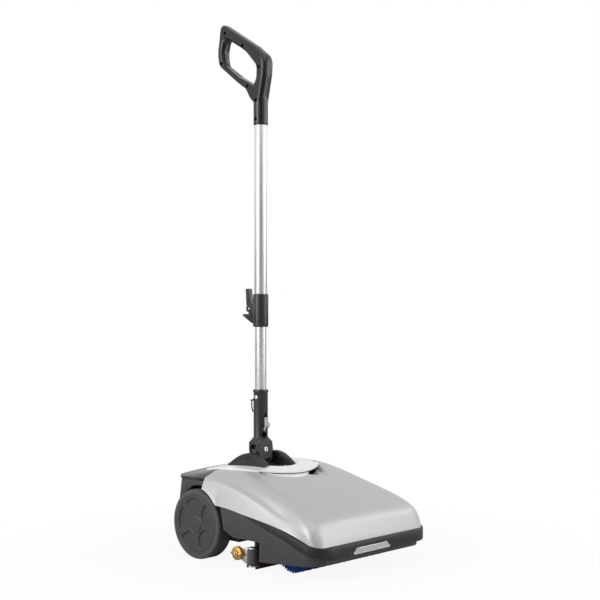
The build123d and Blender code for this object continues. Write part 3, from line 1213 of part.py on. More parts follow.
SCREW_TOP_X = GRIP_HALF_X - SCREW_SINK
for side, word in ((-1, "right"), (1, "left")):
    grip_loop = side_slab(in_grip(GRIP_OUTER), 0, side * GRIP_HALF_X)
    hand_hole = side_slab(in_grip(GRIP_INNER), 0, side * GRIP_HALF_X)
    hand_hole = fillet(hand_hole.edges().filter_by(Axis.X), GRIP_HOLE_R)
    with BuildPart() as grip:
        add(grip_loop)
        corners = grip.edges().filter_by(Axis.X).filter_by(lambda edge: edge.center().Z > GRIP_LOW_Z + FIT)
        fillet(corners.sort_by(Axis.Z)[-1], GRIP_TIP_R)
        corners = grip.edges().filter_by(Axis.X).filter_by(lambda edge: edge.center().Z > GRIP_LOW_Z + FIT)
        fillet(corners.sort_by(Axis.Z)[:-2], GRIP_CORNER_R)
        add(hand_hole, mode=Mode.SUBTRACT)
        outer_face = grip.faces().filter_by(Axis.X).sort_by(Axis.X)[0 if side < 0 else -1]
        fillet(outer_face.edges().filter_by(lambda edge: edge.center().Z > GRIP_LOW_Z + FIT), GRIP_ROUND)
        rod_z(UPPER_TUBE_R + FIT, GRIP_LOW_Z, UPPER_TUBE_TOP_Z, 0, HANDLE_Y, Mode.SUBTRACT)
        for y, z in in_grip(GRIP_SCREWS):
            if side < 0:
                rod_x(SCREW_R + FIT, -GRIP_HALF_X, 0, y, z, Mode.SUBTRACT)
                rod_x(SCREW_HEAD_R + FIT, -GRIP_HALF_X, -SCREW_TOP_X + SCREW_HEAD_H, y, z, Mode.SUBTRACT)
            else:
                rod_x(SCREW_R, 0, SCREW_BITE, y, z, Mode.SUBTRACT)
    finish(grip.part, f"grip_{word}")

with BuildPart() as grip_screws:
    for y, z in in_grip(GRIP_SCREWS):
        rod_x(SCREW_HEAD_R, -SCREW_TOP_X, -SCREW_TOP_X + SCREW_HEAD_H, y, z)
        rod_x(SCREW_R, -SCREW_TOP_X, SCREW_BITE, y, z)
finish(grip_screws.part, "grip_screws")
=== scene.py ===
"""Studio set of a walk-behind floor scrubber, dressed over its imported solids.

Metres. +Z is up, -Y is the front and -X is the machine's right side.
"""

import json
import math

import bmesh
import bpy
from bpy.props import FloatProperty, FloatVectorProperty, IntProperty, PointerProperty
from mathutils import Matrix, Vector

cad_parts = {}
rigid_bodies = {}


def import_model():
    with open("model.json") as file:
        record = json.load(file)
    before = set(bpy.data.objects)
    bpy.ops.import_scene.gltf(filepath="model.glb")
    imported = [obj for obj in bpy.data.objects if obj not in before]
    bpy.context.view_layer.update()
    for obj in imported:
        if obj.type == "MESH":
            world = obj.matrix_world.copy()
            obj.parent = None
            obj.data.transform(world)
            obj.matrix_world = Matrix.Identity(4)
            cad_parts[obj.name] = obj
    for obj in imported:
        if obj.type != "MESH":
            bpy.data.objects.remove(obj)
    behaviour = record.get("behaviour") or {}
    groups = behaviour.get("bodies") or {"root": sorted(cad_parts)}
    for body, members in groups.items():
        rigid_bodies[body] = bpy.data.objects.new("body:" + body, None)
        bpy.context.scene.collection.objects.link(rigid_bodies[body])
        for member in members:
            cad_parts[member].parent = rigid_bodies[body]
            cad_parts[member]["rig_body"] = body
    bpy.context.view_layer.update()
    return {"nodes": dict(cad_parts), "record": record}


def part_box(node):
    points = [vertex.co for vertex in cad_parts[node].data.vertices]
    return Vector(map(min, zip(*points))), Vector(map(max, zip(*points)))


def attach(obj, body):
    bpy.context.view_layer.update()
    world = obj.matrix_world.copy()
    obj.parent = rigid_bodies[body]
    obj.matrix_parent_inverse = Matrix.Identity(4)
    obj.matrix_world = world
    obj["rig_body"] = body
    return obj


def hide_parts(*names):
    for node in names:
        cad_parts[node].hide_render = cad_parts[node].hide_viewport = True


bl_info = {
    "name": "Floor scrubber studio",
    "version": (1, 0, 0),
    "blender": (4, 5, 0),
    "location": "View3D > Sidebar > Scrubber",
    "description": "Dresses a packed floor scrubber and sets it on a studio floor",
    "category": "Object",
}

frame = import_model()
NODES = frame["nodes"]

MM = 0.001

# Where the solids stand
TUBE_LOW, TUBE_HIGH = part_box("lower_tube")
TYRE_LOW, TYRE_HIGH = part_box("wheel_tyre_left")
HUB_LOW, HUB_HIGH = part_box("wheel_hub_left")
BRISTLE_LOW, BRISTLE_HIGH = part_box("brush_bristles")
WINDOW_LOW, WINDOW_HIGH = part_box("front_window")
BOLT_LOW, BOLT_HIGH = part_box("fork_bolt")
LATCH_LOW, LATCH_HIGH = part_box("tilt_latch")
PIN_LOW, PIN_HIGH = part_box("tilt_pin")
GRIP_LOW, GRIP_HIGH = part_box("grip_left")
COVER_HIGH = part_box("cover")[1]
HANDLE_Y = (TUBE_LOW.y + TUBE_HIGH.y) / 2
FRONT_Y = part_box("bumper_band")[0].y
AXLE_Y = (TYRE_LOW.y + TYRE_HIGH.y) / 2
AXLE_Z = (TYRE_LOW.z + TYRE_HIGH.z) / 2
WHEEL_R = (TYRE_HIGH.z - TYRE_LOW.z) / 2
HUB_R = (HUB_HIGH.z - HUB_LOW.z) / 2
COVER_TOP = COVER_HIGH.z
COVER_REAR_Y = COVER_HIGH.y
COVER_FRONT_Y = FRONT_Y + 9.5 * MM
PARTING_Y = COVER_REAR_Y - 13 * MM
ARCH_R = WHEEL_R + 7 * MM
CHEEK_Z = (BOLT_LOW.z + BOLT_HIGH.z) / 2
CHEEK_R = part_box("fork")[1].x
TILT_Z = (PIN_LOW.z + PIN_HIGH.z) / 2
GRIP_FOOT_Z = GRIP_LOW.z
GRIP_HALF = GRIP_HIGH.x

# Directions of turned forms
FORWARDS = Vector((0, -1, 0))
RIGHTWARDS = Vector((-1, 0, 0))
UPWARDS = Vector((0, 0, 1))

# Edges that turn by more than this stay crisp
CRISP = math.radians(32)
SKIN_CRISP = math.radians(60)
COVER_CRISP = math.radians(80)
GRIP_CRISP = math.radians(50)
WINDOW_CRISP = math.radians(15)

# Cover: where the fenders rise behind the nose, where they weaken towards the back, and what is left there
FENDER_START = 36 * MM
FENDER_RUN = 90 * MM
FENDER_WEAK = 10 * MM
FENDER_WEAK_RUN = 100 * MM
FENDER_REAR = 0.6
FENDER_CURVE = 1.2
# Share of the fender's depth that is its flat upper edge
LEDGE = 0.3
# Run over which the nose's tight shoulder grows into the wide one
NOSE_END = 30 * MM
NOSE_RUN = 150 * MM
# How finely the ridge and the sections are drawn, and how often sections and skin are evened out
RIDGE_STEPS = 400
RIDGE_POINTS = 900
SECTION_STEPS = 260
SECTION_PASSES = 6
SKIN_PASSES = 3

# Finger pocket in the cover beside the collar, from the handle axis: near corner, tip, far corner (X, Y)
POCKET = ((16 * MM, -130 * MM), (53 * MM, -162 * MM), (96 * MM, -78 * MM))
POCKET_DEPTH = 10 * MM
POCKET_WALL = 4 * MM
# Share of the pocket's length over which it ends under the collar
POCKET_END = 0.3

# Outline of the saddle from the handle axis
SADDLE_HALF = 44 * MM
SADDLE_FRONT = 88 * MM
SADDLE_BULGE = 18 * MM
SADDLE_REAR = 58 * MM

# Collar: width over the cover's edge, flat back, rolled rim, and groove round the saddle
COLLAR_LEDGE = 17 * MM
COLLAR_REAR = 78 * MM
COLLAR_SINK = 0.8 * MM
COLLAR_ROLL = 3 * MM
COLLAR_GROOVE = 0.6 * MM
COLLAR_RISE = 0.4
COLLAR_GAP = 0.4 * MM
COLLAR_WALL = 2.5 * MM
COLLAR_CROWDING = 1.6

# Raised crescent at the front of the collar, the near-black plate of painted shadow in the gap under it, and
# the lip
CRESCENT_R = 127 * MM
CRESCENT_HALF = math.radians(45)
CRESCENT_CORNER = math.radians(32)
CRESCENT_LIFT = 6.4 * MM
CRESCENT_TIP = 3 * MM
CRESCENT_GAP = 0.8 * MM
GAP_LIFT = CRESCENT_LIFT - 2.4 * MM
GAP_INSET = 2.2 * MM
GAP_TIP_INSET = 12 * MM
GAP_LEAST = 0.2 * MM
GAP_DEPTH = 13 * MM
LIP_LIFT = 1.2 * MM
LIP_REACH = 17 * MM
LIP_START = math.radians(40)
LIP_END = math.radians(13)
LIP_EDGE = 6 * MM
LIP_UNDER = 7 * MM
LIP_CURVE = 0.8
PLATE_WALL = 3 * MM
PLATE_EDGE = 0.9 * MM

# Lid over the rear housing, and the deck that it shares with the cover's top
LID_REAR_Y = HANDLE_Y + 97 * MM
LID_HALF = 157.5 * MM
LID_CORNER = 18 * MM
LID_EDGE_Z = 170.5 * MM
LID_ARCH_Z = 180 * MM
LID_LIP = 6 * MM
LID_GAP = 0.6 * MM
LID_CROWDING = 1.5
LID_HOLE_HALF = 90 * MM
LID_HOLE_REAR_Y = HANDLE_Y + COLLAR_REAR - 12 * MM
DECK_FLAT = 118 * MM
DECK_ARCH = 3 * MM
DECK_FALL = 15 * MM
# Rear housing: how far its back leans in, and which corners count as its front, back and top
HOUSING_LEAN = 8 * MM
HOUSING_FRONT_Y = COVER_REAR_Y + 2 * MM
HOUSING_BACK_Y = HANDLE_Y + 60 * MM
HOUSING_TOP = 5 * MM

# Broken edge of the bumper band; window: slanted ends, then width and step of its frame and sunk middle
BAND_EDGE = 0.8 * MM
WINDOW_FOOT = 4 * MM
WINDOW_SLANT = 11 * MM
WINDOW_TIP = 3.5 * MM
WINDOW_PROUD = 0.6 * MM
WINDOW_STEPS = ((1.1 * MM, -0.8 * MM), (1.6 * MM, 0.7 * MM))

# Hub faces, millimetres: spokes, pockets (inner and outer radius), grooves (radius, half width, depth), boss
SPOKES = 5
SPOKE_TURN = math.radians(63)
SPOKE_HALF = 3.6
HUB_POCKET = (22.5, 55.0)
HUB_POCKET_ROUND = 9.0
HUB_POCKET_DEPTH = 3.6
HUB_POCKET_WALL = 2.6
HUB_GROOVES = ((19.3, 1.4, 1.0), (59.0, 1.3, 1.0))
HUB_BOSS_R = 17.5
HUB_BOSS_HEIGHT = 1.4
HUB_BOSS_EDGE = 2.0

# Handle foot: cheek faces from the handle axis, port above the cheek, webs, bushings and screw
CHEEK_OUT = 14 * MM
PORT = Vector((-4 * MM, HANDLE_Y - 15.5 * MM, 253.5 * MM))
PORT_STRETCH = 1.25
WEB_X = CHEEK_R - 0.7 * MM
WEB_LOW_Z = 231 * MM
WEB_HIGH_Z = 239 * MM
WEB_WALL = 1.8 * MM
WEB_DEPTH = 18 * MM
WEB_EDGE = 0.7 * MM
BUSHING_X = 29 * MM
SADDLE_SCREW = Vector((-2 * MM, HANDLE_Y - SADDLE_FRONT + 10 * MM, 189 * MM))
# Latch: lower end, place, width and depth of its tongue, then its knob and its stem
TONGUE_LOW_Z = LATCH_LOW.z + 8 * MM
TONGUE_Y = (LATCH_LOW.y + LATCH_HIGH.y) / 2 + 2 * MM
TONGUE_WIDTH = 6.8 * MM
TONGUE_DEPTH = 9 * MM
TONGUE_EDGE = 1.4 * MM
KNOB_Y = LATCH_LOW.y + 10.2 * MM
KNOB_Z = LATCH_LOW.z + 8.5 * MM
STEM = Vector((-2 * MM, LATCH_LOW.y + 9.7 * MM, LATCH_LOW.z + 4 * MM))
# Spring leaf of the lock pin, seen along the fork's side: (out, up) in millimetres
LEAF = ((15.2, 303), (17.2, 307), (18.3, 313), (18.6, 320), (18.0, 326), (15.2, 330))
LEAF_TURN = math.radians(-46)
LEAF_HALF = 3 * MM
LEAF_WALL = 2.6 * MM
LEAF_EDGE = 0.4 * MM
LEAF_BALL = Vector((-22.0 * MM, 0, 328 * MM))
LEAF_STALK = Vector((-18.5 * MM, 0, 327 * MM))
# Broken edge of the handle tubes
TUBE_EDGE = 0.4 * MM

# Side view of the grip from its foot on the handle axis: (back, up, corner radius)
GRIP_LOOP = (
    (-12, 44, 0), (-18, 70, 60), (-27, 108, 60), (-29.5, 146, 32), (7, 175, 40), (120, 244, 12),
    (131.4, 172, 30), (126, 146, 22), (31, 78, 40), (13, 48, 26),
)
GRIP_OPENING = (
    (4, 132, 18), (42, 169, 30), (101, 204, 10), (110.5, 176, 20), (107, 146, 14), (62, 114, 40),
    (13, 90, 8), (4, 106, 20),
)
GRIP_SCREWS = ((101, 216), (43, 180), (-9, 126), (27, 88), (115, 150), (0, 54), (0, 13))
NECK_SCREWS_BELOW = 60
NECK_SCREW_PROUD = 0.2 * MM
GRIP_MIDDLE = (57, 147)
GRIP_STATIONS = 200
GRIP_VOXEL = 1.2 * MM
GRIP_SOFTENING = 16

# Section of the grip's bars, millimetres: seam between the two shells, and the shallow line along each side
SEAM_DEPTH = 0.5
SEAM_HALF = 0.6
RIDGE_AT = 0.46
RIDGE_HALF = 1.6
RIDGE_DEPTH = 0.5
# Largest corner of a bar, as a share of its width
BAR_CORNER = 0.46

# Brush tufts: root, shorter ones among them, turn from row to row, and radius at root and tip
TUFT_ROOT_R = 28 * MM
TUFT_WEAR = 0.8 * MM
TUFT_TWIST = 0.05
TUFT_THIN = 1.7 * MM
TUFT_WIDE = 2.6 * MM

# Dark card beside the camera: turn from the camera's heading, distance, height of its middle, and size
FLAG_TURN = math.radians(4)
FLAG_AWAY = 3.2
FLAG_Z = 1.1
FLAG_SIZE = (1.9, 3.0)

# Ridge of the cover seen from the side, rear to front (Y, Z)
CROWN = (
    (HANDLE_Y + 102.5 * MM, COVER_TOP - 6.5 * MM),
    (HANDLE_Y - 40.0 * MM, COVER_TOP),
    (HANDLE_Y - 114.0 * MM, COVER_TOP - 9.5 * MM),
    (FRONT_Y + 142.0 * MM, 161.0 * MM),
    (FRONT_Y + 96.0 * MM, 146.5 * MM),
    (FRONT_Y + 64.0 * MM, 133.5 * MM),
    (FRONT_Y + 44.0 * MM, 123.0 * MM),
    (FRONT_Y + 30.0 * MM, 113.5 * MM),
    (FRONT_Y + 20.5 * MM, 102.0 * MM),
    (FRONT_Y + 15.0 * MM, 89.0 * MM),
    (FRONT_Y + 11.5 * MM, 77.0 * MM),
    (COVER_FRONT_Y, 66.0 * MM),
)

# Parting line under the cover, rear to front (Y, Z)
RIM = (
    (HANDLE_Y + 100.0 * MM, 121.5 * MM),
    (HANDLE_Y - 51.0 * MM, 121.5 * MM),
    (HANDLE_Y - 126.0 * MM, 113.0 * MM),
    (FRONT_Y + 105.0 * MM, 97.0 * MM),
    (FRONT_Y + 26.0 * MM, 73.5 * MM),
    (FRONT_Y, 70.0 * MM),
)

# Upper edge of the side fenders, rear to front (Y, Z)
CREASE = (
    (HANDLE_Y + 40.0 * MM, 181.0 * MM),
    (HANDLE_Y - 12.0 * MM, 177.5 * MM),
    (HANDLE_Y - 64.0 * MM, 171.0 * MM),
    (HANDLE_Y - 114.0 * MM, 159.0 * MM),
    (HANDLE_Y - 153.0 * MM, 146.5 * MM),
    (FRONT_Y + 146.0 * MM, 132.5 * MM),
    (FRONT_Y + 104.0 * MM, 118.0 * MM),
    (FRONT_Y + 68.0 * MM, 106.0 * MM),
    (FRONT_Y + 20.0 * MM, 92.0 * MM),
    (FRONT_Y, 86.0 * MM),
)


def length_setting(name, description, default):
    """A length that a user can change."""
    return FloatProperty(name=name, description=description, default=default, unit="LENGTH")


def count_setting(name, description, default):
    """A number of things that a user can change."""
    return IntProperty(name=name, description=description, default=default, min=1)


def colour_setting(name, description, default):
    """A colour that a user can change."""
    return FloatVectorProperty(name=name, description=description, default=default, subtype="COLOR", size=3)


class ScrubberShape(bpy.types.PropertyGroup):
    """Sizes of the dressed pieces."""

    shoulder: length_setting(
        "Shoulder", "Radius where the cover's top rolls into its side", 40 * MM)
    corner: length_setting(
        "Nose corner", "Radius of the cover's front corners seen from above", 28 * MM)
    nose_shoulder: length_setting(
        "Nose shoulder", "Radius of the same roll at the nose", 26 * MM)
    arch: length_setting(
        "Arch", "How much lower the cover's top is at its sides than at its middle", 3 * MM)
    half_width: length_setting(
        "Cover half width", "Middle of the cover to its side wall", 168 * MM)
    fender_step: length_setting(
        "Fender step", "How far the cover's side draws in above its fenders", 11 * MM)
    fender_reach: length_setting(
        "Fender reach", "Middle of the cover to the outside of its fenders", 172 * MM)
    valley: length_setting(
        "Valley", "How softly the fender runs into the cover's side", 7 * MM)
    cover_wall: length_setting("Cover wall", "Thickness of the cover", 3.5 * MM)
    cover_rows: count_setting("Cover rows", "Mesh rows from the back to the nose", 120)
    cover_columns: count_setting("Cover columns", "Mesh columns across the cover", 176)
    collar_radius: length_setting("Collar radius", "Outside of the round collar", 119 * MM)
    edge: length_setting("Edge", "Width of the broken edges of moulded pieces", 1.6 * MM)
    fine_edge: length_setting("Fine edge", "Width of the broken edges of small pieces", 0.6 * MM)
    bar_edge: length_setting("Bar edge", "Radius along the edges of the grip's bars", 12 * MM)
    rear_slim: length_setting(
        "Rear slim", "How much slimmer each side of the grip is at the back", 2.5 * MM)
    neck_radius: length_setting("Neck radius", "Radius of the grip's round neck", 16.2 * MM)
    bristle_rings: count_setting("Bristle rings", "Rows of tufts along the brush", 46)
    bristle_tufts: count_setting("Tufts", "Tufts in one row round the brush", 40)


class ScrubberColours(bpy.types.PropertyGroup):
    """Colours of the finishes."""

    silver: colour_setting("Cover silver", "Satin paint of the cover", (0.49, 0.49, 0.495))
    collar: colour_setting("Collar", "Pale moulding round the handle's foot", (0.92, 0.92, 0.92))
    black: colour_setting("Black", "Bumper band, saddle and guide rollers", (0.0145, 0.0145, 0.0155))
    grey: colour_setting("Dark grey", "Chassis, wheels and rear housing", (0.047, 0.048, 0.05))
    grip: colour_setting("Grip", "Glossy mouldings of the hand grip", (0.010, 0.010, 0.011))
    aluminium: colour_setting("Aluminium", "Handle tubes", (0.58, 0.58, 0.59))
    lip: colour_setting("Squeegee lip", "Rubber lips of the squeegee", (0.11, 0.018, 0.022))
    bristle: colour_setting("Bristle", "Brush bristles", (0.006, 0.058, 0.34))
    brass: colour_setting("Brass", "Thumb nuts of the squeegee", (0.62, 0.37, 0.11))


class ScrubberStage(bpy.types.PropertyGroup):
    """Camera and light."""

    camera_place: FloatVectorProperty(
        name="Camera place", description="Where the camera stands", subtype="TRANSLATION",
        unit="LENGTH", size=3, default=(-1.839, -1.7927, 0.548))
    camera_turn: FloatProperty(
        name="Camera turn", description="Heading of the level camera, clockwise from +Y",
        subtype="ANGLE", default=math.atan2(0.7193, 0.6947))
    lens: FloatProperty(
        name="Lens", description="Focal length of the camera, millimetres", default=72.0)
    key_power: FloatProperty(
        name="Key light", description="Power of the large light above", default=10.4, unit="POWER")
    side_power: FloatProperty(
        name="Side lights", description="Power of the tall light at each side", default=31.0, unit="POWER")
    rim_power: FloatProperty(
        name="Rim light", description="Power of the light that draws the nose", default=8.4, unit="POWER")
    sky: FloatProperty(
        name="Sky", description="Level of the even light from all round", default=0.25)
    floor_white: FloatProperty(
        name="Floor white", description="Share of the floor's own white, the rest takes shadows",
        subtype="FACTOR", default=0.92)


class ScrubberLook(bpy.types.PropertyGroup):
    """Everything a user would change."""

    shape: PointerProperty(type=ScrubberShape)
    colours: PointerProperty(type=ScrubberColours)
    stage: PointerProperty(type=ScrubberStage)


class Wire:
    """A shader value that takes part in Python sums."""

    def __init__(self, tree, socket):
        self.tree = tree
        self.socket = socket

    def worked(self, operation, *values):
        """Math node over these values."""
        node = self.tree.nodes.new("ShaderNodeMath")
        node.operation = operation
        for socket, value in zip(node.inputs, values):
            if isinstance(value, Wire):
                self.tree.links.new(value.socket, socket)
            else:
                socket.default_value = value
        return Wire(self.tree, node.outputs[0])

    def __add__(self, other):
        return self.worked("ADD", self, other)

    def __radd__(self, other):
        return self.worked("ADD", other, self)

    def __sub__(self, other):
        return self.worked("SUBTRACT", self, other)

    def __rsub__(self, other):
        return self.worked("SUBTRACT", other, self)

    def __mul__(self, other):
        return self.worked("MULTIPLY", self, other)

    def __rmul__(self, other):
        return self.worked("MULTIPLY", other, self)

    def __gt__(self, other):
        return self.worked("GREATER_THAN", self, other)


class Finish:
    """A material, or a world, put together node by node."""

    def __init__(self, owner):
        self.owner = owner
        owner.use_nodes = True
        self.tree = owner.node_tree
        self.tree.nodes.clear()

    def add(self, kind, sockets=None, output=0, **settings):
        """One node with its settings and sockets, as the wire of one output if it has any."""
        node = self.tree.nodes.new(kind)
        for name, value in settings.items():
            setattr(node, name, value)
        for name, value in (sockets or {}).items():
            if isinstance(value, Wire):
                self.tree.links.new(value.socket, node.inputs[name])
            else:
                node.inputs[name].default_value = value
        return Wire(self.tree, node.outputs[output]) if node.outputs else None

    def spot(self, scale=(1, 1, 1)):
        """Place on the piece, stretched by scale."""
        place = self.add("ShaderNodeTexCoord", output="Object")
        return self.add("ShaderNodeMapping", {"Vector": place, "Scale": scale})

    def noise(self, size, detail=2.0, stretch=(1, 1, 1)):
        """Soft noise whose patches are about size across."""
        return self.add("ShaderNodeTexNoise",
                        {"Vector": self.spot(stretch), "Scale": 1 / size, "Detail": detail})

    def between(self, share, first, second):
        """Colour between two colours."""
        return self.add("ShaderNodeMix", {0: share, 6: (*first, 1), 7: (*second, 1)}, output=2,
                        data_type="RGBA")

    def close(self, sockets):
        """Principled surface with these sockets."""
        surface = self.add("ShaderNodeBsdfPrincipled", sockets)
        self.add("ShaderNodeOutputMaterial", {"Surface": surface})
        return self.owner


def shaded(colour, amount):
    """A colour made lighter or darker."""
    return tuple(max(channel * (1 + amount), 0) for channel in colour)


def moulded(name, colour, roughness, grain=0.7 * MM, depth=0.03 * MM, uneven=0.07,
            gloss=0.5, coat=0.0):
    """Moulded or painted plastic: a fine skin, with slow changes of tone and gloss."""
    finish = Finish(bpy.data.materials.new(name))
    cloud = finish.noise(90 * MM, 3)
    skin = finish.noise(grain, 2)
    bump = finish.add("ShaderNodeBump", {"Height": skin, "Strength": 0.35, "Distance": depth})
    return finish.close({
        "Base Color": finish.between(cloud, shaded(colour, -uneven), shaded(colour, uneven)),
        "Roughness": roughness - 0.08 + cloud * 0.1 + skin * 0.06,
        "Specular IOR Level": gloss,
        "Coat Weight": coat,
        "Coat Roughness": 0.12,
        "Normal": bump,
    })


def flaked(name, colour, roughness):
    """Satin metallic paint with fine flakes under a thin clear coat."""
    finish = Finish(bpy.data.materials.new(name))
    cloud = finish.noise(160 * MM, 2)
    flakes = finish.add("ShaderNodeTexVoronoi", {"Vector": finish.spot(), "Scale": 1 / (0.5 * MM)},
                        feature="F1", output="Color")
    glint = finish.add("ShaderNodeSeparateColor", {"Color": flakes})
    ripple = finish.noise(6 * MM, 2)
    bump = finish.add("ShaderNodeBump", {"Height": ripple, "Strength": 0.12, "Distance": 0.02 * MM})
    share = cloud * 0.45 + glint * 0.55
    return finish.close({
        "Base Color": finish.between(share, shaded(colour, -0.05), shaded(colour, 0.05)),
        "Roughness": roughness - 0.05 + glint * 0.08 + cloud * 0.04,
        "Metallic": 0.2,
        "Coat Weight": 0.15,
        "Coat Roughness": 0.3,
        "Normal": bump,
    })


def brushed(name, colour, roughness, stretch, streak=0.8 * MM):
    """Metal drawn or turned along one direction."""
    finish = Finish(bpy.data.materials.new(name))
    lines = finish.noise(streak, 2, stretch)
    cloud = finish.noise(60 * MM, 2)
    bump = finish.add("ShaderNodeBump", {"Height": lines, "Strength": 0.02, "Distance": 0.01 * MM})
    return finish.close({
        "Base Color": finish.between(lines, shaded(colour, -0.02), shaded(colour, 0.02)),
        "Roughness": roughness - 0.05 + lines * 0.05 + cloud * 0.05,
        "Metallic": 1.0,
        "Normal": bump,
    })


def rubbered(name, colour, roughness):
    """Soft rubber with a dusty bloom."""
    finish = Finish(bpy.data.materials.new(name))
    bloom = finish.noise(25 * MM, 4)
    skin = finish.noise(1.2 * MM, 3)
    bump = finish.add("ShaderNodeBump", {"Height": skin, "Strength": 0.4, "Distance": 0.05 * MM})
    return finish.close({
        "Base Color": finish.between(bloom, shaded(colour, -0.15), shaded(colour, 0.25)),
        "Roughness": roughness - 0.06 + bloom * 0.14,
        "Normal": bump,
    })


FINISHES = {}


def make_finishes(colours):
    """All finishes by their slot."""
    silver = tuple(colours.silver)
    grey = tuple(colours.grey)
    black = tuple(colours.black)
    FINISHES.update({
        "cover_silver": flaked("Satin silver paint", silver, 0.4),
        "collar_light": moulded("Pale collar plastic", tuple(colours.collar), 0.30, uneven=0.03, coat=0.3),
        "band_black": moulded("Black bumper plastic", black, 0.45, depth=0.05 * MM, gloss=0.3),
        "chassis_grey": moulded("Dark grey plastic", grey, 0.50, depth=0.06 * MM, gloss=0.3),
        "cap_grey": moulded("Glossy dark plastic", shaded(grey, -0.5), 0.3, gloss=0.32, coat=0.1),
        "grip_black": moulded("Glossy black plastic", tuple(colours.grip), 0.22, grain=5 * MM,
                              depth=0.004 * MM, uneven=0.1, gloss=0.42),
        "window_clear": moulded("Clear window", (0.46, 0.465, 0.47), 0.16, coat=0.8, uneven=0.04),
        "block_light": moulded("Light grey plastic", (0.40, 0.40, 0.405), 0.42),
        "wheel_grey": moulded("Wheel plastic", grey, 0.46, depth=0.05 * MM, gloss=0.3),
        "tyre_rubber": rubbered("Tyre rubber", shaded(grey, 0.2), 0.68),
        "tube_aluminium": brushed("Drawn aluminium", tuple(colours.aluminium), 0.40, (1, 1, 0.004)),
        "steel": brushed("Stainless steel", (0.60, 0.60, 0.61), 0.30, (1, 1, 0.2)),
        "brass": brushed("Turned brass", tuple(colours.brass), 0.30, (0.15, 1, 1)),
        "lip_maroon": rubbered("Maroon rubber", tuple(colours.lip), 0.55),
        "bristle_blue": moulded("Blue nylon", tuple(colours.bristle), 0.42, grain=2 * MM, uneven=0.35),
        "inner_plastic": moulded("Inner grey plastic", (0.16, 0.16, 0.165), 0.5),
        "motor_steel": brushed("Plated motor case", (0.42, 0.42, 0.43), 0.36, (0.1, 1, 1)),
        # Near-black finish that stands for the shade inside gaps, openings and screw wells: painted shade
        "dark_gap": moulded("Painted shade black", (0.004, 0.004, 0.004), 0.9, gloss=0.0),
    })


def slot_of(node):
    """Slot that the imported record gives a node."""
    return next(entry["material_slot"] for entry in frame["record"]["subparts"] if entry["node"] == node)


def body_of(node):
    """Body that a node rides on."""
    return NODES[node]["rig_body"]


def on_line(line, share):
    """Point at a share of the way along a smooth line through the points."""
    spans = len(line) - 1
    place = min(max(share, 0), 1) * spans
    index = min(int(place), spans - 1)
    step = place - index
    before = Vector(line[max(index - 1, 0)])
    start = Vector(line[index])
    end = Vector(line[index + 1])
    after = Vector(line[min(index + 2, spans)])
    return (start + 0.5 * step * (end - before)
            + step ** 2 * (before - 2.5 * start + 2 * end - 0.5 * after)
            + step ** 3 * (-0.5 * before + 1.5 * start - 1.5 * end + 0.5 * after))


def height_at(line, y):
    """Height of a smooth line, drawn from rear to front, at this Y."""
    low, high = 0.0, 1.0
    for _ in range(40):
        middle = (low + high) / 2
        if on_line(line, middle)[0] > y:
            low = middle
        else:
            high = middle
    return on_line(line, low)[1]


def eased(share):
    """Share that starts and ends gently, held between 0 and 1."""
    share = min(max(share, 0), 1)
    return share * share * (3 - 2 * share)


def spaced(points, count):
    """Points at equal steps along a chain of points."""
    lengths = [0.0]
    for first, second in zip(points, points[1:]):
        lengths.append(lengths[-1] + (second - first).length)
    found = []
    index = 0
    for step in range(count + 1):
        goal = lengths[-1] * step / count
        while index < len(points) - 2 and lengths[index + 1] < goal:
            index += 1
        run = lengths[index + 1] - lengths[index]
        share = (goal - lengths[index]) / run if run > 1e-9 else 0
        found.append(points[index].lerp(points[index + 1], min(share, 1)))
    return found


def smoothed(bm, angle=CRISP):
    """Smooth faces, with the edges sharper than angle kept crisp."""
    for face in bm.faces:
        face.smooth = True
    for edge in bm.edges:
        edge.smooth = len(edge.link_faces) == 2 and edge.calc_face_angle() < angle


def linked(name, bm, material):
    """Object from a finished bmesh, in one material."""
    mesh = bpy.data.meshes.new(name)
    bm.to_mesh(mesh)
    bm.free()
    mesh.materials.append(material)
    thing = bpy.data.objects.new(name, mesh)
    bpy.context.scene.collection.objects.link(thing)
    return thing


def piece(name, bm, body, slot, replaced=()):
    """Object from a finished bmesh, riding on its body in its finish."""
    thing = linked(name, bm, FINISHES[slot])
    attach(thing, body)
    slot in [entry["slot"] for entry in frame["record"]["materials"]]
    if replaced:
        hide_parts(*replaced)
    return thing


def closed_piece(name, bm, body, slot, replaced=(), angle=CRISP):
    """Object from a closed bmesh, its faces turned outwards."""
    bmesh.ops.recalc_face_normals(bm, faces=bm.faces)
    smoothed(bm, angle)
    return piece(name, bm, body, slot, replaced)


def skin_piece(name, bm, body, slot, replaced=(), angle=SKIN_CRISP):
    """Object from an open skin, its top turned to the sky."""
    bmesh.ops.recalc_face_normals(bm, faces=bm.faces)
    if max(bm.faces, key=lambda face: face.calc_center_median().z).normal.z < 0:
        bmesh.ops.reverse_faces(bm, faces=bm.faces)
    smoothed(bm, angle)
    return piece(name, bm, body, slot, replaced)


def walled(thing, thickness):
    """Wall thickness, laid inwards."""
    wall = thing.modifiers.new("Wall", "SOLIDIFY")
    wall.thickness = thickness
    wall.offset = -1
    return thing


def rounded(thing, width):
    """Rounds the crisp edges of a walled skin."""
    edge = thing.modifiers.new("Round edge", "BEVEL")
    edge.width = width
    edge.segments = 3
    edge.limit_method = "ANGLE"
    edge.angle_limit = math.radians(50)


def only(kind, geom):
    """Items of one kind among those that an operation made."""
    return [item for item in geom if isinstance(item, kind)]


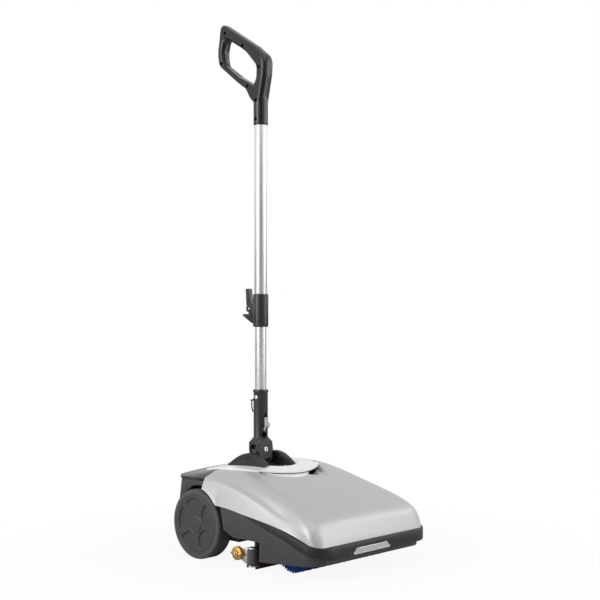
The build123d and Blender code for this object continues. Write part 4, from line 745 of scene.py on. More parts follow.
def turned(bm, centre, along, profile, segments):
    """Round form about an axis through centre, from (radius, way along the axis) pairs in millimetres."""
    centre = Vector(centre)
    across = Vector((0, 1, 0)) if along.x else Vector((1, 0, 0))
    verts = [bm.verts.new(centre + (across * radius + along * way) * MM) for radius, way in profile]
    edges = [bm.edges.new(pair) for pair in zip(verts, verts[1:])]
    bmesh.ops.spin(bm, geom=verts + edges, cent=centre, axis=along, angle=2 * math.pi,
                   steps=segments, use_merge=True)
    bmesh.ops.remove_doubles(bm, verts=bm.verts, dist=0.005 * MM)


def ball(bm, place, radius):
    """Small ball, radius in millimetres."""
    bmesh.ops.create_uvsphere(bm, u_segments=20, v_segments=12, radius=radius * MM,
                              matrix=Matrix.Translation(place))


def rod(bm, place, lean, radii, length, segments):
    """Straight rod that leans in the XZ plane, its two radii and its length in millimetres."""
    placed = Matrix.Translation(place) @ Matrix.Rotation(lean, 4, "Y")
    bmesh.ops.create_cone(bm, cap_ends=True, segments=segments, radius1=radii[0] * MM,
                          radius2=radii[1] * MM, depth=length * MM, matrix=placed)


def block(bm, place, size):
    """Box of this size about its middle."""
    bmesh.ops.create_cube(bm, size=1, matrix=Matrix.Translation(place) @ Matrix.Diagonal((*size, 1)))


def merged(node):
    """Closed copy of a solid's mesh, with its flat faces made whole again."""
    bm = bmesh.new()
    bm.from_mesh(NODES[node].data)
    bmesh.ops.remove_doubles(bm, verts=bm.verts, dist=0.002 * MM)
    bmesh.ops.dissolve_limit(bm, angle_limit=math.radians(0.5), verts=bm.verts, edges=bm.edges,
                             delimit={"NORMAL"})
    return bm


def broken_edges(bm, width, angle=math.radians(40)):
    """Breaks every sharp edge with a small round."""
    sharp = [edge for edge in bm.edges
             if len(edge.link_faces) == 2 and edge.calc_face_angle() > angle]
    bmesh.ops.bevel(bm, geom=sharp, offset=width, offset_type="OFFSET", segments=2, profile=0.5,
                    affect="EDGES", clamp_overlap=True, material=-1)


def dressed(node, width=0.0, slot=None):
    """Copy of a solid with broken edges and smooth rounds, standing for it."""
    bm = merged(node)
    if width:
        broken_edges(bm, width)
    smoothed(bm)
    piece(f"{node}_shell", bm, body_of(node), slot or slot_of(node), (node,))


def plain(node, slot=None):
    """A solid whose shape is right, given its finish."""
    materials = NODES[node].data.materials
    materials.clear()
    materials.append(FINISHES[slot or slot_of(node)])


def fender_strength(y):
    """How far the fender stands out at this Y: most beside the brush, none at the nose."""
    front = eased((y - (FRONT_Y + FENDER_START)) / FENDER_RUN)
    rear = eased((HANDLE_Y + FENDER_WEAK - y) / FENDER_WEAK_RUN)
    return front * (FENDER_REAR + (1 - FENDER_REAR) * rear)


def nose_inset(shape, y):
    """How far the rounded front corners draw the cover's sides in at this Y."""
    into = max(COVER_FRONT_Y + shape.corner - y, 0)
    return shape.corner - math.sqrt(max(shape.corner ** 2 - into ** 2, 0))


def cover_low(y):
    """Lower edge of the cover: the parting line, or the wheel arch where that is higher."""
    low = height_at(RIM, y)
    beside = ARCH_R ** 2 - (y - AXLE_Y) ** 2
    if beside > 0:
        low = max(low, AXLE_Z + math.sqrt(beside))
    return low


def blended_top(first, second, soft):
    """The higher of two heights, run together where they meet."""
    share = max(soft - abs(first - second), 0) / soft
    return max(first, second) + share * share * soft / 4


def dome_height(ridge, half, shoulder, x):
    """Height of the cover's plain dome at this X."""
    over = max(x - (half - shoulder), 0)
    return ridge - shoulder + math.sqrt(max(shoulder ** 2 - over ** 2, 0))


def cover_section(shape, y, ridge, fendered):
    """Half of the cover's cross section, from its middle to its lower edge, as (X, Z)."""
    low = min(cover_low(y), ridge)
    half = shape.half_width - nose_inset(shape, y)
    out = half
    if fendered:
        half -= shape.fender_step
        out = shape.fender_reach
    behind_nose = eased((y - FRONT_Y - NOSE_END) / NOSE_RUN)
    shoulder = shape.nose_shoulder + (shape.shoulder - shape.nose_shoulder) * behind_nose
    shoulder = min(shoulder, max(ridge - low, 0.2 * MM), half)
    crease = max(height_at(CREASE, y), low)
    points = []
    for step in range(SECTION_STEPS + 1):
        x = out * math.sin(math.pi / 2 * step / SECTION_STEPS)
        height = dome_height(ridge, half, shoulder, x) if x <= half else low
        if fendered:
            beyond = max((x - half) / (out - half) - LEDGE, 0) / (1 - LEDGE)
            fender = crease - (crease - low) * beyond ** FENDER_CURVE
            height = blended_top(height, fender, shape.valley)
        height -= shape.arch * (x / half) ** 2
        points.append(Vector((x, max(min(height, ridge), low))))
    points.append(Vector((out, low)))
    return spaced(points, shape.cover_columns // 2)


def cover_row(shape, y, ridge):
    """Cross section of the cover with the fender as strong as it is at this Y."""
    strength = fender_strength(y)
    plain_row = cover_section(shape, y, ridge, False)
    fender_row = cover_section(shape, y, ridge, True)
    row = [first.lerp(second, strength) for first, second in zip(plain_row, fender_row)]
    for _ in range(SECTION_PASSES):
        middle = [before.lerp(after, 0.5).lerp(point, 0.5)
                  for before, point, after in zip(row, row[1:], row[2:])]
        row = row[:1] + middle + row[-1:]
    return row


def pocket_depth(x, y):
    """Depth of the finger pocket: a ramp that falls from its tip to the collar, with steep sides."""
    near, tip, far = (Vector(corner) for corner in POCKET)
    spot = Vector((x, y))
    inner = (far - near).normalized()
    from_collar = inner.cross(near - spot) / inner.cross(near - tip)
    inside_near = (tip - near).normalized().cross(spot - near)
    inside_far = (far - tip).normalized().cross(spot - tip)
    walls = eased(inside_near / POCKET_WALL) * eased(inside_far / POCKET_WALL)
    ramp = min(max(1 - from_collar, 0), 1) * eased(1 + from_collar / POCKET_END)
    return POCKET_DEPTH * ramp * walls


class SCRUBBER_OT_cover(bpy.types.Operator):
    """Silver cover: one skin over the crown, shoulders, fenders and nose"""

    bl_idname = "scrubber.cover"
    bl_label = "Cover"

    def execute(self, context):
        shape = context.scene.scrubber.shape
        rows = shape.cover_rows
        columns = shape.cover_columns
        crown = [on_line(CROWN, step / RIDGE_STEPS) for step in range(RIDGE_STEPS + 1)]
        ridge_line = [point for point in spaced(crown, RIDGE_POINTS)
                      if point[0] <= PARTING_Y and point[1] >= height_at(RIM, point[0])]
        ridge_line = spaced(ridge_line, rows)
        sections = [cover_row(shape, y, ridge) for y, ridge in ridge_line]
        bm = bmesh.new()
        bmesh.ops.create_grid(bm, x_segments=columns, y_segments=rows, size=0.5)
        for vert in bm.verts:
            row = round((vert.co.y + 0.5) * rows)
            column = round(vert.co.x * columns)
            x, z = sections[row][abs(column)]
            x = math.copysign(x, column)
            y = ridge_line[row][0]
            vert.co = Vector((x, y, z - pocket_depth(x, y - HANDLE_Y)))
        axis = Vector((0, HANDLE_Y))
        hole = shape.collar_radius - COLLAR_LEDGE
        under_collar = [face for face in bm.faces if (face.calc_center_median().xy - axis).length < hole]
        bmesh.ops.delete(bm, geom=under_collar, context="FACES")
        inner = [vert for vert in bm.verts if not vert.is_boundary]
        for _ in range(SKIN_PASSES):
            bmesh.ops.smooth_vert(bm, verts=inner, factor=0.5, use_axis_x=True, use_axis_y=True,
                                  use_axis_z=True)
        skin = skin_piece("cover_skin", bm, "chassis", "cover_silver", ("cover",), COVER_CRISP)
        walled(skin, shape.cover_wall)
        return {"FINISHED"}


def deck_height(x, y):
    """Height of the cover's top beside the collar, and of the lid behind it."""
    beside = max(abs(x) - DECK_FLAT, 0) / (LID_HALF - DECK_FLAT)
    front = height_at(CROWN, y) - DECK_ARCH * (x / LID_HALF) ** 2 - DECK_FALL * beside ** 2
    rear = LID_ARCH_Z - (LID_ARCH_Z - LID_EDGE_Z) * (x / LID_HALF) ** 2
    return front + (rear - front) * eased((y - PARTING_Y) / (LID_REAR_Y - PARTING_Y))


def saddle_edge(angle):
    """Distance from the handle axis to the saddle's outline, in a direction turned from straight back."""
    side = abs(math.sin(angle))
    back = math.cos(angle)
    reach = SADDLE_HALF / max(side, 1e-6)
    if back > 0:
        return min(reach, SADDLE_REAR / back)
    round_r = (SADDLE_HALF ** 2 + SADDLE_BULGE ** 2) / (2 * SADDLE_BULGE)
    centre = SADDLE_FRONT - round_r
    along = -back * centre
    return min(reach, along + math.sqrt(along ** 2 + round_r ** 2 - centre ** 2))


def collar_height(x, y, inset, share):
    """Height of the collar's skin: a rolled rim and a shallow groove round the saddle."""
    lift = COLLAR_ROLL * math.sqrt(max(1 - max(1 - inset / COLLAR_ROLL, 0) ** 2, 0))
    rise = eased(share / COLLAR_RISE)
    return deck_height(x, y) - COLLAR_SINK + lift * rise - COLLAR_GROOVE * (1 - rise)


class SCRUBBER_OT_collar(bpy.types.Operator):
    """Pale round collar about the handle's foot"""

    bl_idname = "scrubber.collar"
    bl_label = "Collar"

    def execute(self, context):
        shape = context.scene.scrubber.shape
        bm = bmesh.new()
        bmesh.ops.create_grid(bm, x_segments=180, y_segments=56, size=0.5)
        for vert in bm.verts:
            angle = vert.co.x * 2 * math.pi
            share = 1 - (0.5 - vert.co.y) ** COLLAR_CROWDING
            back = math.cos(angle)
            outer = shape.collar_radius
            if back > 0:
                outer = min(outer, COLLAR_REAR / back)
            hole = saddle_edge(angle) + COLLAR_GAP
            radius = hole + (outer - hole) * share
            x = radius * math.sin(angle)
            y = HANDLE_Y + radius * back
            vert.co = Vector((x, y, collar_height(x, y, outer - radius, share)))
        bmesh.ops.remove_doubles(bm, verts=bm.verts, dist=0.01 * MM)
        walled(skin_piece("collar_ring", bm, "chassis", "collar_light", ("collar",)), COLLAR_WALL)
        self.plate("collar_crescent", "collar_light", self.crescent_inner, self.crescent_outer,
                   CRESCENT_LIFT, PLATE_WALL)
        # Near-black plate tucked under the crescent's front: painted shadow in the gap
        self.plate("collar_gap_painted_shade", "dark_gap", self.crescent_inner, self.gap_outer, GAP_LIFT, GAP_DEPTH)
        self.plate("collar_lip", "collar_light", self.lip_inner, self.lip_outer, LIP_LIFT, PLATE_WALL)
        return {"FINISHED"}

    def tip_share(self, angle):
        """How far towards one of the crescent's pointed tips this direction is."""
        return max(abs(angle) - CRESCENT_CORNER, 0) / (CRESCENT_HALF - CRESCENT_CORNER)

    def crescent_inner(self, angle):
        """Along the saddle, then out to the crescent's tips."""
        along_saddle = saddle_edge(math.pi - min(abs(angle), CRESCENT_CORNER)) + CRESCENT_GAP
        return along_saddle + (CRESCENT_R - CRESCENT_TIP - along_saddle) * self.tip_share(angle)

    def crescent_outer(self, angle):
        """Round front of the crescent."""
        return CRESCENT_R

    def gap_outer(self, angle):
        """A little inside the crescent's front, and well inside its tips."""
        front = CRESCENT_R - GAP_INSET - GAP_TIP_INSET * self.tip_share(angle)
        return max(front, self.crescent_inner(angle) + GAP_LEAST)

    def lip_inner(self, angle):
        """Under the crescent's edge."""
        return CRESCENT_R - LIP_UNDER

    def lip_outer(self, angle):
        """A long soft bulge from the crescent's right end to the pocket."""
        along = min(max((angle + LIP_START) / (LIP_START + LIP_END), 0), 1)
        return CRESCENT_R - LIP_EDGE + (LIP_REACH + LIP_EDGE) * math.sin(math.pi * along) ** LIP_CURVE

    def plate(self, name, slot, inner, outer, lift, thickness):
        """Curved plate between two outlines about the handle axis, laid over the deck."""
        bm = bmesh.new()
        bmesh.ops.create_grid(bm, x_segments=96, y_segments=12, size=0.5)
        for vert in bm.verts:
            angle = 2 * vert.co.x * CRESCENT_HALF
            share = 0.5 + vert.co.y
            radius = inner(angle) + (outer(angle) - inner(angle)) * share
            x = radius * math.sin(angle)
            y = HANDLE_Y - radius * math.cos(angle)
            vert.co = Vector((x, y, deck_height(x, y) + lift))
        bmesh.ops.remove_doubles(bm, verts=bm.verts, dist=0.01 * MM)
        rounded(walled(skin_piece(name, bm, "chassis", slot), thickness), PLATE_EDGE)


class SCRUBBER_OT_shells(bpy.types.Operator):
    """Bumper band, chassis, rear housing, lid and window"""

    bl_idname = "scrubber.shells"
    bl_label = "Shells"

    def execute(self, context):
        shape = context.scene.scrubber.shape
        dressed("bumper_band", BAND_EDGE)
        dressed("chassis", shape.fine_edge)
        self.housing(shape)
        self.lid(shape)
        self.window()
        for node in ("power_switch", "charge_inlet"):
            dressed(node, shape.fine_edge)
        return {"FINISHED"}

    def housing(self, shape):
        """Rear housing: reaches forward to the cover and leans in towards the lid."""
        bm = merged("rear_housing")
        low = min(vert.co.z for vert in bm.verts)
        high = max(vert.co.z for vert in bm.verts)
        for vert in bm.verts:
            if vert.co.y < HOUSING_FRONT_Y:
                vert.co.y += PARTING_Y - COVER_REAR_Y
            if vert.co.y > HOUSING_BACK_Y:
                vert.co.y -= HOUSING_LEAN * (vert.co.z - low) / (high - low)
            if vert.co.z > high - HOUSING_TOP:
                vert.co.z += LID_EDGE_Z - LID_LIP - high
        broken_edges(bm, shape.edge)
        smoothed(bm)
        piece("rear_housing_shell", bm, body_of("rear_housing"), slot_of("rear_housing"), ("rear_housing",))

    def lid(self, shape):
        """Lid behind the cover: follows its section at the front, a flat arch at the back."""
        front_y = PARTING_Y + LID_GAP
        bm = bmesh.new()
        bmesh.ops.create_grid(bm, x_segments=80, y_segments=40, size=0.5)
        for vert in bm.verts:
            along = vert.co.y + 0.5
            y = front_y + (LID_REAR_Y - front_y) * (1 - (1 - along) ** LID_CROWDING)
            into = max(y - (LID_REAR_Y - LID_CORNER), 0)
            half = LID_HALF - LID_CORNER + math.sqrt(max(LID_CORNER ** 2 - into ** 2, 0))
            x = 2 * half * vert.co.x
            vert.co = Vector((x, y, deck_height(x, y)))
        under_collar = [face for face in bm.faces
                        if abs(face.calc_center_median().x) < LID_HOLE_HALF
                        and face.calc_center_median().y < LID_HOLE_REAR_Y]
        bmesh.ops.delete(bm, geom=under_collar, context="FACES")
        lid = skin_piece("rear_lid", bm, body_of("rear_cap"), slot_of("rear_cap"), ("rear_cap",))
        rounded(walled(lid, LID_LIP), shape.edge)

    def window(self):
        """Pale lens in the bumper: a long plate with slanted ends, a raised frame and a sunk middle."""
        corners = (
            (WINDOW_LOW.x + WINDOW_FOOT, WINDOW_LOW.z), (WINDOW_HIGH.x - WINDOW_FOOT, WINDOW_LOW.z),
            (WINDOW_HIGH.x, WINDOW_LOW.z + WINDOW_TIP), (WINDOW_HIGH.x - WINDOW_SLANT, WINDOW_HIGH.z),
            (WINDOW_LOW.x + WINDOW_SLANT, WINDOW_HIGH.z), (WINDOW_LOW.x, WINDOW_LOW.z + WINDOW_TIP),
        )
        bm = bmesh.new()
        back = bm.faces.new([bm.verts.new((x, WINDOW_HIGH.y, z)) for x, z in corners])
        bm.normal_update()
        if back.normal.y > 0:
            back.normal_flip()
        grown = bmesh.ops.extrude_face_region(bm, geom=[back], use_keep_orig=True)["geom"]
        bmesh.ops.translate(bm, verts=only(bmesh.types.BMVert, grown),
                            vec=(0, WINDOW_LOW.y - WINDOW_PROUD - WINDOW_HIGH.y, 0))
        front = only(bmesh.types.BMFace, grown)
        for width, step in WINDOW_STEPS:
            bmesh.ops.inset_region(bm, faces=front, thickness=width, depth=0)
            bmesh.ops.translate(bm, verts=front[0].verts, vec=(0, step, 0))
        closed_piece("window_lens", bm, body_of("front_window"), "window_clear", ("front_window",),
                     WINDOW_CRISP)


def hub_relief(radius, angle):
    """How far the hub's face stands out at one spot, millimetres: boss, grooves and pockets."""
    off_spoke = math.remainder(angle - SPOKE_TURN, 2 * math.pi / SPOKES)
    from_spoke = radius * abs(math.sin(off_spoke)) - SPOKE_HALF
    from_rims = min(radius - HUB_POCKET[0], HUB_POCKET[1] - radius)
    inside = -blended_top(-from_spoke, -from_rims, HUB_POCKET_ROUND)
    relief = -HUB_POCKET_DEPTH * eased(inside / HUB_POCKET_WALL)
    for middle, half, depth in HUB_GROOVES:
        relief -= depth * eased(1 - abs(radius - middle) / half)
    return relief + HUB_BOSS_HEIGHT * eased((HUB_BOSS_R - radius) / HUB_BOSS_EDGE)


class SCRUBBER_OT_wheels(bpy.types.Operator):
    """Tyres, hubs with five pockets, and axle"""

    bl_idname = "scrubber.wheels"
    bl_label = "Wheels"

    def execute(self, context):
        for name, side in (("left", 1), ("right", -1)):
            dressed(f"wheel_tyre_{name}")
            self.hub(f"wheel_hub_{name}", side)
        plain("axle")
        return {"FINISHED"}

    def hub(self, node, side):
        """Hub face with five round-cornered pockets, closed by a flat back."""
        bm = bmesh.new()
        bmesh.ops.create_grid(bm, x_segments=320, y_segments=90, size=0.5)
        for vert in bm.verts:
            angle = 2 * math.pi * (vert.co.x + 0.5)
            radius = HUB_R * (vert.co.y + 0.5)
            x = TYRE_HIGH.x + hub_relief(radius / MM, angle) * MM
            vert.co = Vector((side * x, AXLE_Y - radius * math.cos(angle), AXLE_Z + radius * math.sin(angle)))
        bmesh.ops.remove_doubles(bm, verts=bm.verts, dist=0.01 * MM)
        border = [edge for edge in bm.edges if edge.is_boundary]
        grown = bmesh.ops.extrude_edge_only(bm, edges=border)["geom"]
        for vert in only(bmesh.types.BMVert, grown):
            vert.co.x = side * TYRE_LOW.x
        back = [edge for edge in only(bmesh.types.BMEdge, grown) if edge.is_boundary]
        bmesh.ops.edgeloop_fill(bm, edges=back)
        closed_piece(f"{node}_face", bm, body_of(node), slot_of(node), (node,), SKIN_CRISP)


class SCRUBBER_OT_foot(bpy.types.Operator):
    """Saddle, joint block, fork, latch and pins at the handle's foot"""

    bl_idname = "scrubber.foot"
    bl_label = "Handle foot"

    def execute(self, context):
        shape = context.scene.scrubber.shape
        dressed("saddle", shape.edge)
        dressed("joint_block", shape.fine_edge, "chassis_grey")
        for node in ("fork", "lock_pin", "pin_clip", "fork_nut"):
            dressed(node, shape.fine_edge)
        plain("tilt_pin", "band_black")
        self.cheek()
        self.latch()
        self.clip()
        self.webs()
        self.fixings()
        return {"FINISHED"}

    def cheek(self):
        """Raised round face on the front cheek, the bolt in its middle, and above it a near-black disc of
        painted shade for the port.
        """
        front = (0, HANDLE_Y - CHEEK_OUT, CHEEK_Z)
        back = (0, HANDLE_Y + CHEEK_OUT, CHEEK_Z)
        rim = CHEEK_R / MM
        bm = bmesh.new()
        turned(bm, front, FORWARDS, (
            (rim, -1), (rim, 1.8), (rim - 1.4, 3), (7.6, 3), (6.9, 2.2), (5.8, 2.2), (5.8, -1),
            (rim, -1)), 48)
        closed_piece("cheek_face", bm, body_of("fork"), "chassis_grey")

        bm = bmesh.new()
        turned(bm, front, FORWARDS, (
            (0, -8), (5.6, -8), (5.6, 2.6), (4.9, 3.4), (2.9, 3.4), (2.4, 1.4), (0, 1.4)), 30)
        turned(bm, back, FORWARDS, ((0, 27.5), (4, 27.5), (4, -4), (3.2, -5), (0, -5)), 24)
        closed_piece("cheek_bolt", bm, body_of("fork_bolt"), "steel", ("fork_bolt",))

        # Near-black disc over the port: painted shade for its opening
        bm = bmesh.new()
        turned(bm, PORT, FORWARDS, ((0, 0.6), (3.9, 0.6), (4.8, 1.2), (5.4, 0.6), (5.4, -4), (0, -4)), 28)
        bmesh.ops.scale(bm, verts=bm.verts, vec=(1, 1, PORT_STRETCH),
                        space=Matrix.Translation((0, 0, -PORT.z)))
        closed_piece("latch_port", bm, body_of("fork"), "dark_gap")

    def webs(self):
        """Webs that close the fork's sides over the joint block."""
        bm = bmesh.new()
        for side in (-1, 1):
            block(bm, (side * WEB_X, HANDLE_Y, (WEB_LOW_Z + WEB_HIGH_Z) / 2),
                  (WEB_WALL, WEB_DEPTH, WEB_HIGH_Z - WEB_LOW_Z))
        broken_edges(bm, WEB_EDGE)
        closed_piece("fork_webs", bm, body_of("fork"), slot_of("fork"))

    def fixings(self):
        """Pale bushings on the tilt pin inside the saddle, and the screw at the saddle's front."""
        bm = bmesh.new()
        for side in (-1, 1):
            turned(bm, (side * BUSHING_X, HANDLE_Y, TILT_Z), RIGHTWARDS, (
                (0, -4), (8, -4), (8.6, -3.2), (8.6, 3.2), (8, 4), (0, 4)), 32)
        closed_piece("tilt_bushings", bm, body_of("saddle"), "block_light")

        bm = bmesh.new()
        ball(bm, SADDLE_SCREW, 3.2)
        closed_piece("saddle_screw", bm, body_of("saddle"), "steel")

    def latch(self):
        """Sliding tongue with a bent stem and a round knob."""
        bm = bmesh.new()
        block(bm, (0, TONGUE_Y, (TONGUE_LOW_Z + LATCH_HIGH.z) / 2),
              (TONGUE_WIDTH, TONGUE_DEPTH, LATCH_HIGH.z - TONGUE_LOW_Z))
        bmesh.ops.bevel(bm, geom=bm.edges[:], offset=TONGUE_EDGE, offset_type="OFFSET", segments=3,
                        profile=0.5, affect="EDGES", clamp_overlap=True, material=-1)
        turned(bm, (0, KNOB_Y, KNOB_Z), FORWARDS, (
            (0, -5), (2.6, -5), (2.6, 1), (5.4, 2.6), (6.6, 5), (6.2, 7.4), (4.2, 9.2), (0, 10)), 28)
        rod(bm, STEM, math.radians(24), (1.6, 2.2), 15, 16)
        closed_piece("latch_tongue", bm, body_of("tilt_latch"), "block_light", ("tilt_latch",))

    def clip(self):
        """Spring leaf of the lock pin, down the fork's side, with a ball at its free end."""
        place = Matrix.Translation((0, HANDLE_Y, 0)) @ Matrix.Rotation(LEAF_TURN, 4, "Z")
        bm = bmesh.new()
        verts = [bm.verts.new((-out * MM, -LEAF_HALF, z * MM)) for out, z in LEAF]
        edges = [bm.edges.new(pair) for pair in zip(verts, verts[1:])]
        grown = bmesh.ops.extrude_edge_only(bm, edges=edges)["geom"]
        bmesh.ops.translate(bm, verts=only(bmesh.types.BMVert, grown), vec=(0, 2 * LEAF_HALF, 0))
        bmesh.ops.solidify(bm, geom=bm.faces[:], thickness=LEAF_WALL)
        bmesh.ops.recalc_face_normals(bm, faces=bm.faces)
        broken_edges(bm, LEAF_EDGE)
        bmesh.ops.transform(bm, matrix=place, verts=bm.verts)
        closed_piece("clip_leaf", bm, body_of("fork"), "band_black")

        bm = bmesh.new()
        ball(bm, LEAF_BALL, 2.3)
        rod(bm, LEAF_STALK, math.radians(80), (1.1, 1.1), 6, 12)
        bmesh.ops.transform(bm, matrix=place, verts=bm.verts)
        closed_piece("clip_ball", bm, body_of("fork"), "steel")


class SCRUBBER_OT_tubes(bpy.types.Operator):
    """Telescopic tubes and their clamp"""

    bl_idname = "scrubber.tubes"
    bl_label = "Tubes and clamp"

    def execute(self, context):
        shape = context.scene.scrubber.shape
        for node in ("lower_tube", "upper_tube"):
            dressed(node, TUBE_EDGE)
        for node in ("clamp_body", "clamp_lever", "clamp_pin"):
            dressed(node, shape.fine_edge)
        return {"FINISHED"}


def rounded_outline(corners, steps=8):
    """Outline through (Y, Z, radius) corners, each rounded off, as points in millimetres."""
    points = []
    for index, (y, z, radius) in enumerate(corners):
        corner = Vector((y, z))
        before = Vector(corners[index - 1][:2]) - corner
        after = Vector(corners[(index + 1) % len(corners)][:2]) - corner
        cut = radius * math.tan((math.pi - before.angle(after)) / 2)
        cut = min(cut, 0.48 * before.length, 0.48 * after.length)
        start = corner + before.normalized() * cut
        end = corner + after.normalized() * cut
        for step in range(steps + 1 if cut else 1):
            share = step / steps
            points.append(start.lerp(corner, share).lerp(corner.lerp(end, share), share))
    return points


def reach_along(outline, centre, angle):
    """Distance from the centre to a closed outline in one direction."""
    ray = Vector((math.cos(angle), math.sin(angle)))
    for first, second in zip(outline, outline[1:] + outline[:1]):
        side = second - first
        slope = ray.cross(side)
        if abs(slope) < 1e-9:
            continue
        away = (first - centre).cross(side) / slope
        share = (first - centre).cross(ray) / slope
        if away > 0 and -1e-6 <= share <= 1 + 1e-6:
            return away
    raise ValueError("the outline doesn't surround the centre")


def bar_section(width, half, edge):
    """Round-cornered section of a bar from its outer edge over one side: (in, out) in millimetres."""
    corner = min(edge, BAR_CORNER * width, half)
    bends = [math.radians(turn) for turn in range(0, 91, 10)]
    middle = width * RIDGE_AT
    points = [(SEAM_DEPTH, 0.0), (0.0, SEAM_HALF)]
    points += [(corner * (1 - math.cos(bend)), half - corner * (1 - math.sin(bend))) for bend in bends]
    points += [(middle - RIDGE_HALF, half), (middle, half - RIDGE_DEPTH), (middle + RIDGE_HALF, half)]
    points += [(width - corner * (1 - math.sin(bend)), half - corner * (1 - math.cos(bend)))
               for bend in bends]
    return points + [(width, 0.0)]


class SCRUBBER_OT_grip(bpy.types.Operator):
    """Two-part hand grip with its screw wells"""

    bl_idname = "scrubber.grip"
    bl_label = "Grip"

    def execute(self, context):
        shape = context.scene.scrubber.shape
        bm = bmesh.new()
        self.hoop(bm, shape)
        self.neck(bm, shape)
        shells = closed_piece("grip_shells", bm, body_of("grip_left"), "grip_black",
                              ("grip_left", "grip_right"), GRIP_CRISP)
        blend = shells.modifiers.new("Blend", "REMESH")
        blend.mode = "VOXEL"
        blend.voxel_size = GRIP_VOXEL
        blend.use_smooth_shade = True
        soften = shells.modifiers.new("Soften", "SMOOTH")
        soften.factor = 0.5
        soften.iterations = GRIP_SOFTENING

        # Screw wells: shallow near-black cups of painted shade for the recesses at the screws
        bm = bmesh.new()
        for y, z in GRIP_SCREWS:
            away = Vector((y, z)) - Vector(GRIP_MIDDLE)
            side = self.half_at(shape, math.atan2(away.y, away.x))
            if z < NECK_SCREWS_BELOW:
                side = shape.neck_radius + NECK_SCREW_PROUD
            turned(bm, (-side, HANDLE_Y + y * MM, GRIP_FOOT_Z + z * MM), RIGHTWARDS, (
                (0, 0.15), (2.7, 0.15), (3.2, 0.4), (3.8, 0.25), (4, -4), (0, -4)), 24)
        closed_piece("grip_screw_wells", bm, body_of("grip_left"), "dark_gap")
        plain("grip_screws")
        return {"FINISHED"}

    def hoop(self, bm, shape):
        """The hoop of the grip: round-edged sections set all round its opening."""
        outer = rounded_outline(GRIP_LOOP)
        opening = rounded_outline(GRIP_OPENING)
        centre = Vector(GRIP_MIDDLE)
        sections = []
        for station in range(GRIP_STATIONS):
            angle = 2 * math.pi * station / GRIP_STATIONS
            inside = reach_along(opening, centre, angle)
            width = reach_along(outer, centre, angle) - inside
            side = bar_section(width, self.half_at(shape, angle) / MM, shape.bar_edge / MM)
            ring = side + [(into, -out) for into, out in side[-2:0:-1]]
            sections.append([self.placed(centre, angle, inside + width - into, out) for into, out in ring])
        count = len(sections[0])
        bmesh.ops.create_grid(bm, x_segments=GRIP_STATIONS, y_segments=count, size=0.5)
        for vert in bm.verts:
            station = round((vert.co.x + 0.5) * GRIP_STATIONS) % GRIP_STATIONS
            vert.co = sections[station][round((vert.co.y + 0.5) * count) % count]
        bmesh.ops.remove_doubles(bm, verts=bm.verts, dist=0.001 * MM)

    def half_at(self, shape, angle):
        """Half thickness of the hoop in one direction from its middle: slimmer at the back."""
        rear = 0.5 + 0.5 * math.cos(angle)
        return GRIP_HALF - shape.rear_slim * rear ** 2

    def placed(self, centre, angle, reach, out):
        """Point of the hoop in metres."""
        y = centre[0] + reach * math.cos(angle)
        z = centre[1] + reach * math.sin(angle)
        return Vector((out * MM, HANDLE_Y + y * MM, GRIP_FOOT_Z + z * MM))

    def neck(self, bm, shape):
        """Round neck that runs up into the hoop, with a bead at its foot."""
        radius = shape.neck_radius / MM
        turned(bm, (0, HANDLE_Y, GRIP_FOOT_Z), UPWARDS, (
            (0, 0), (radius - 1.4, 0), (radius + 0.3, 1.4), (radius + 0.3, 3.2), (radius, 4.2), (radius, 58),
            (radius - 2, 68), (radius - 7, 77), (0, 79)), 64)


class SCRUBBER_OT_brush(bpy.types.Operator):
    """Full roller brush of fine tufts on its core"""

    bl_idname = "scrubber.brush"
    bl_label = "Brush"

    def execute(self, context):
        shape = context.scene.scrubber.shape
        middle_y = (BRISTLE_LOW.y + BRISTLE_HIGH.y) / 2
        middle_z = (BRISTLE_LOW.z + BRISTLE_HIGH.z) / 2
        outer = (BRISTLE_HIGH.z - BRISTLE_LOW.z) / 2
        length = BRISTLE_HIGH.x - BRISTLE_LOW.x
        bm = bmesh.new()
        for ring in range(shape.bristle_rings):
            x = BRISTLE_LOW.x + length * (ring + 0.5) / shape.bristle_rings
            for tuft in range(shape.bristle_tufts):
                angle = 2 * math.pi * (tuft + 0.5 * (ring % 2)) / shape.bristle_tufts + TUFT_TWIST * ring
                reach = outer - TUFT_WEAR * ((ring * 7 + tuft * 13) % 5) / 4
                place = (Matrix.Translation((x, middle_y, middle_z)) @ Matrix.Rotation(angle, 4, "X")
                         @ Matrix.Translation((0, 0, (TUFT_ROOT_R + reach) / 2)))
                bmesh.ops.create_cone(bm, cap_ends=True, segments=5, radius1=TUFT_THIN, radius2=TUFT_WIDE,
                                      depth=reach - TUFT_ROOT_R, matrix=place)
        smoothed(bm)
        piece("brush_tufts", bm, body_of("brush_bristles"), "bristle_blue", ("brush_bristles",))
        for node in ("brush_core", "brush_pulley", "motor_pulley", "drive_belt",
                     "brush_bearing_left", "brush_bearing_right"):
            plain(node)
        return {"FINISHED"}


class SCRUBBER_OT_squeegee(bpy.types.Operator):
    """Squeegee holder, lips, brackets, thumb nuts and guide rollers"""

    bl_idname = "scrubber.squeegee"
    bl_label = "Squeegee"

    def execute(self, context):
        shape = context.scene.scrubber.shape
        for node in ("squeegee_holder", "squeegee_front_lip", "squeegee_rear_lip", "squeegee_brackets",
                     "thumb_nut_left", "thumb_nut_right", "guide_roller_left", "guide_roller_right",
                     "roller_bolts"):
            dressed(node, shape.fine_edge)
        plain("suction_boot")
        return {"FINISHED"}


class SCRUBBER_OT_inside(bpy.types.Operator):
    """Tanks, fan, pump, motor, battery and board inside the shells"""

    bl_idname = "scrubber.inside"
    bl_label = "Inner pieces"

    def execute(self, context):
        for node in ("recovery_tank", "solution_tank", "fan_case", "fan_wheel", "fan_motor", "water_pump",
                     "battery_pack", "control_board", "spray_bar", "brush_motor"):
            plain(node)
        return {"FINISHED"}


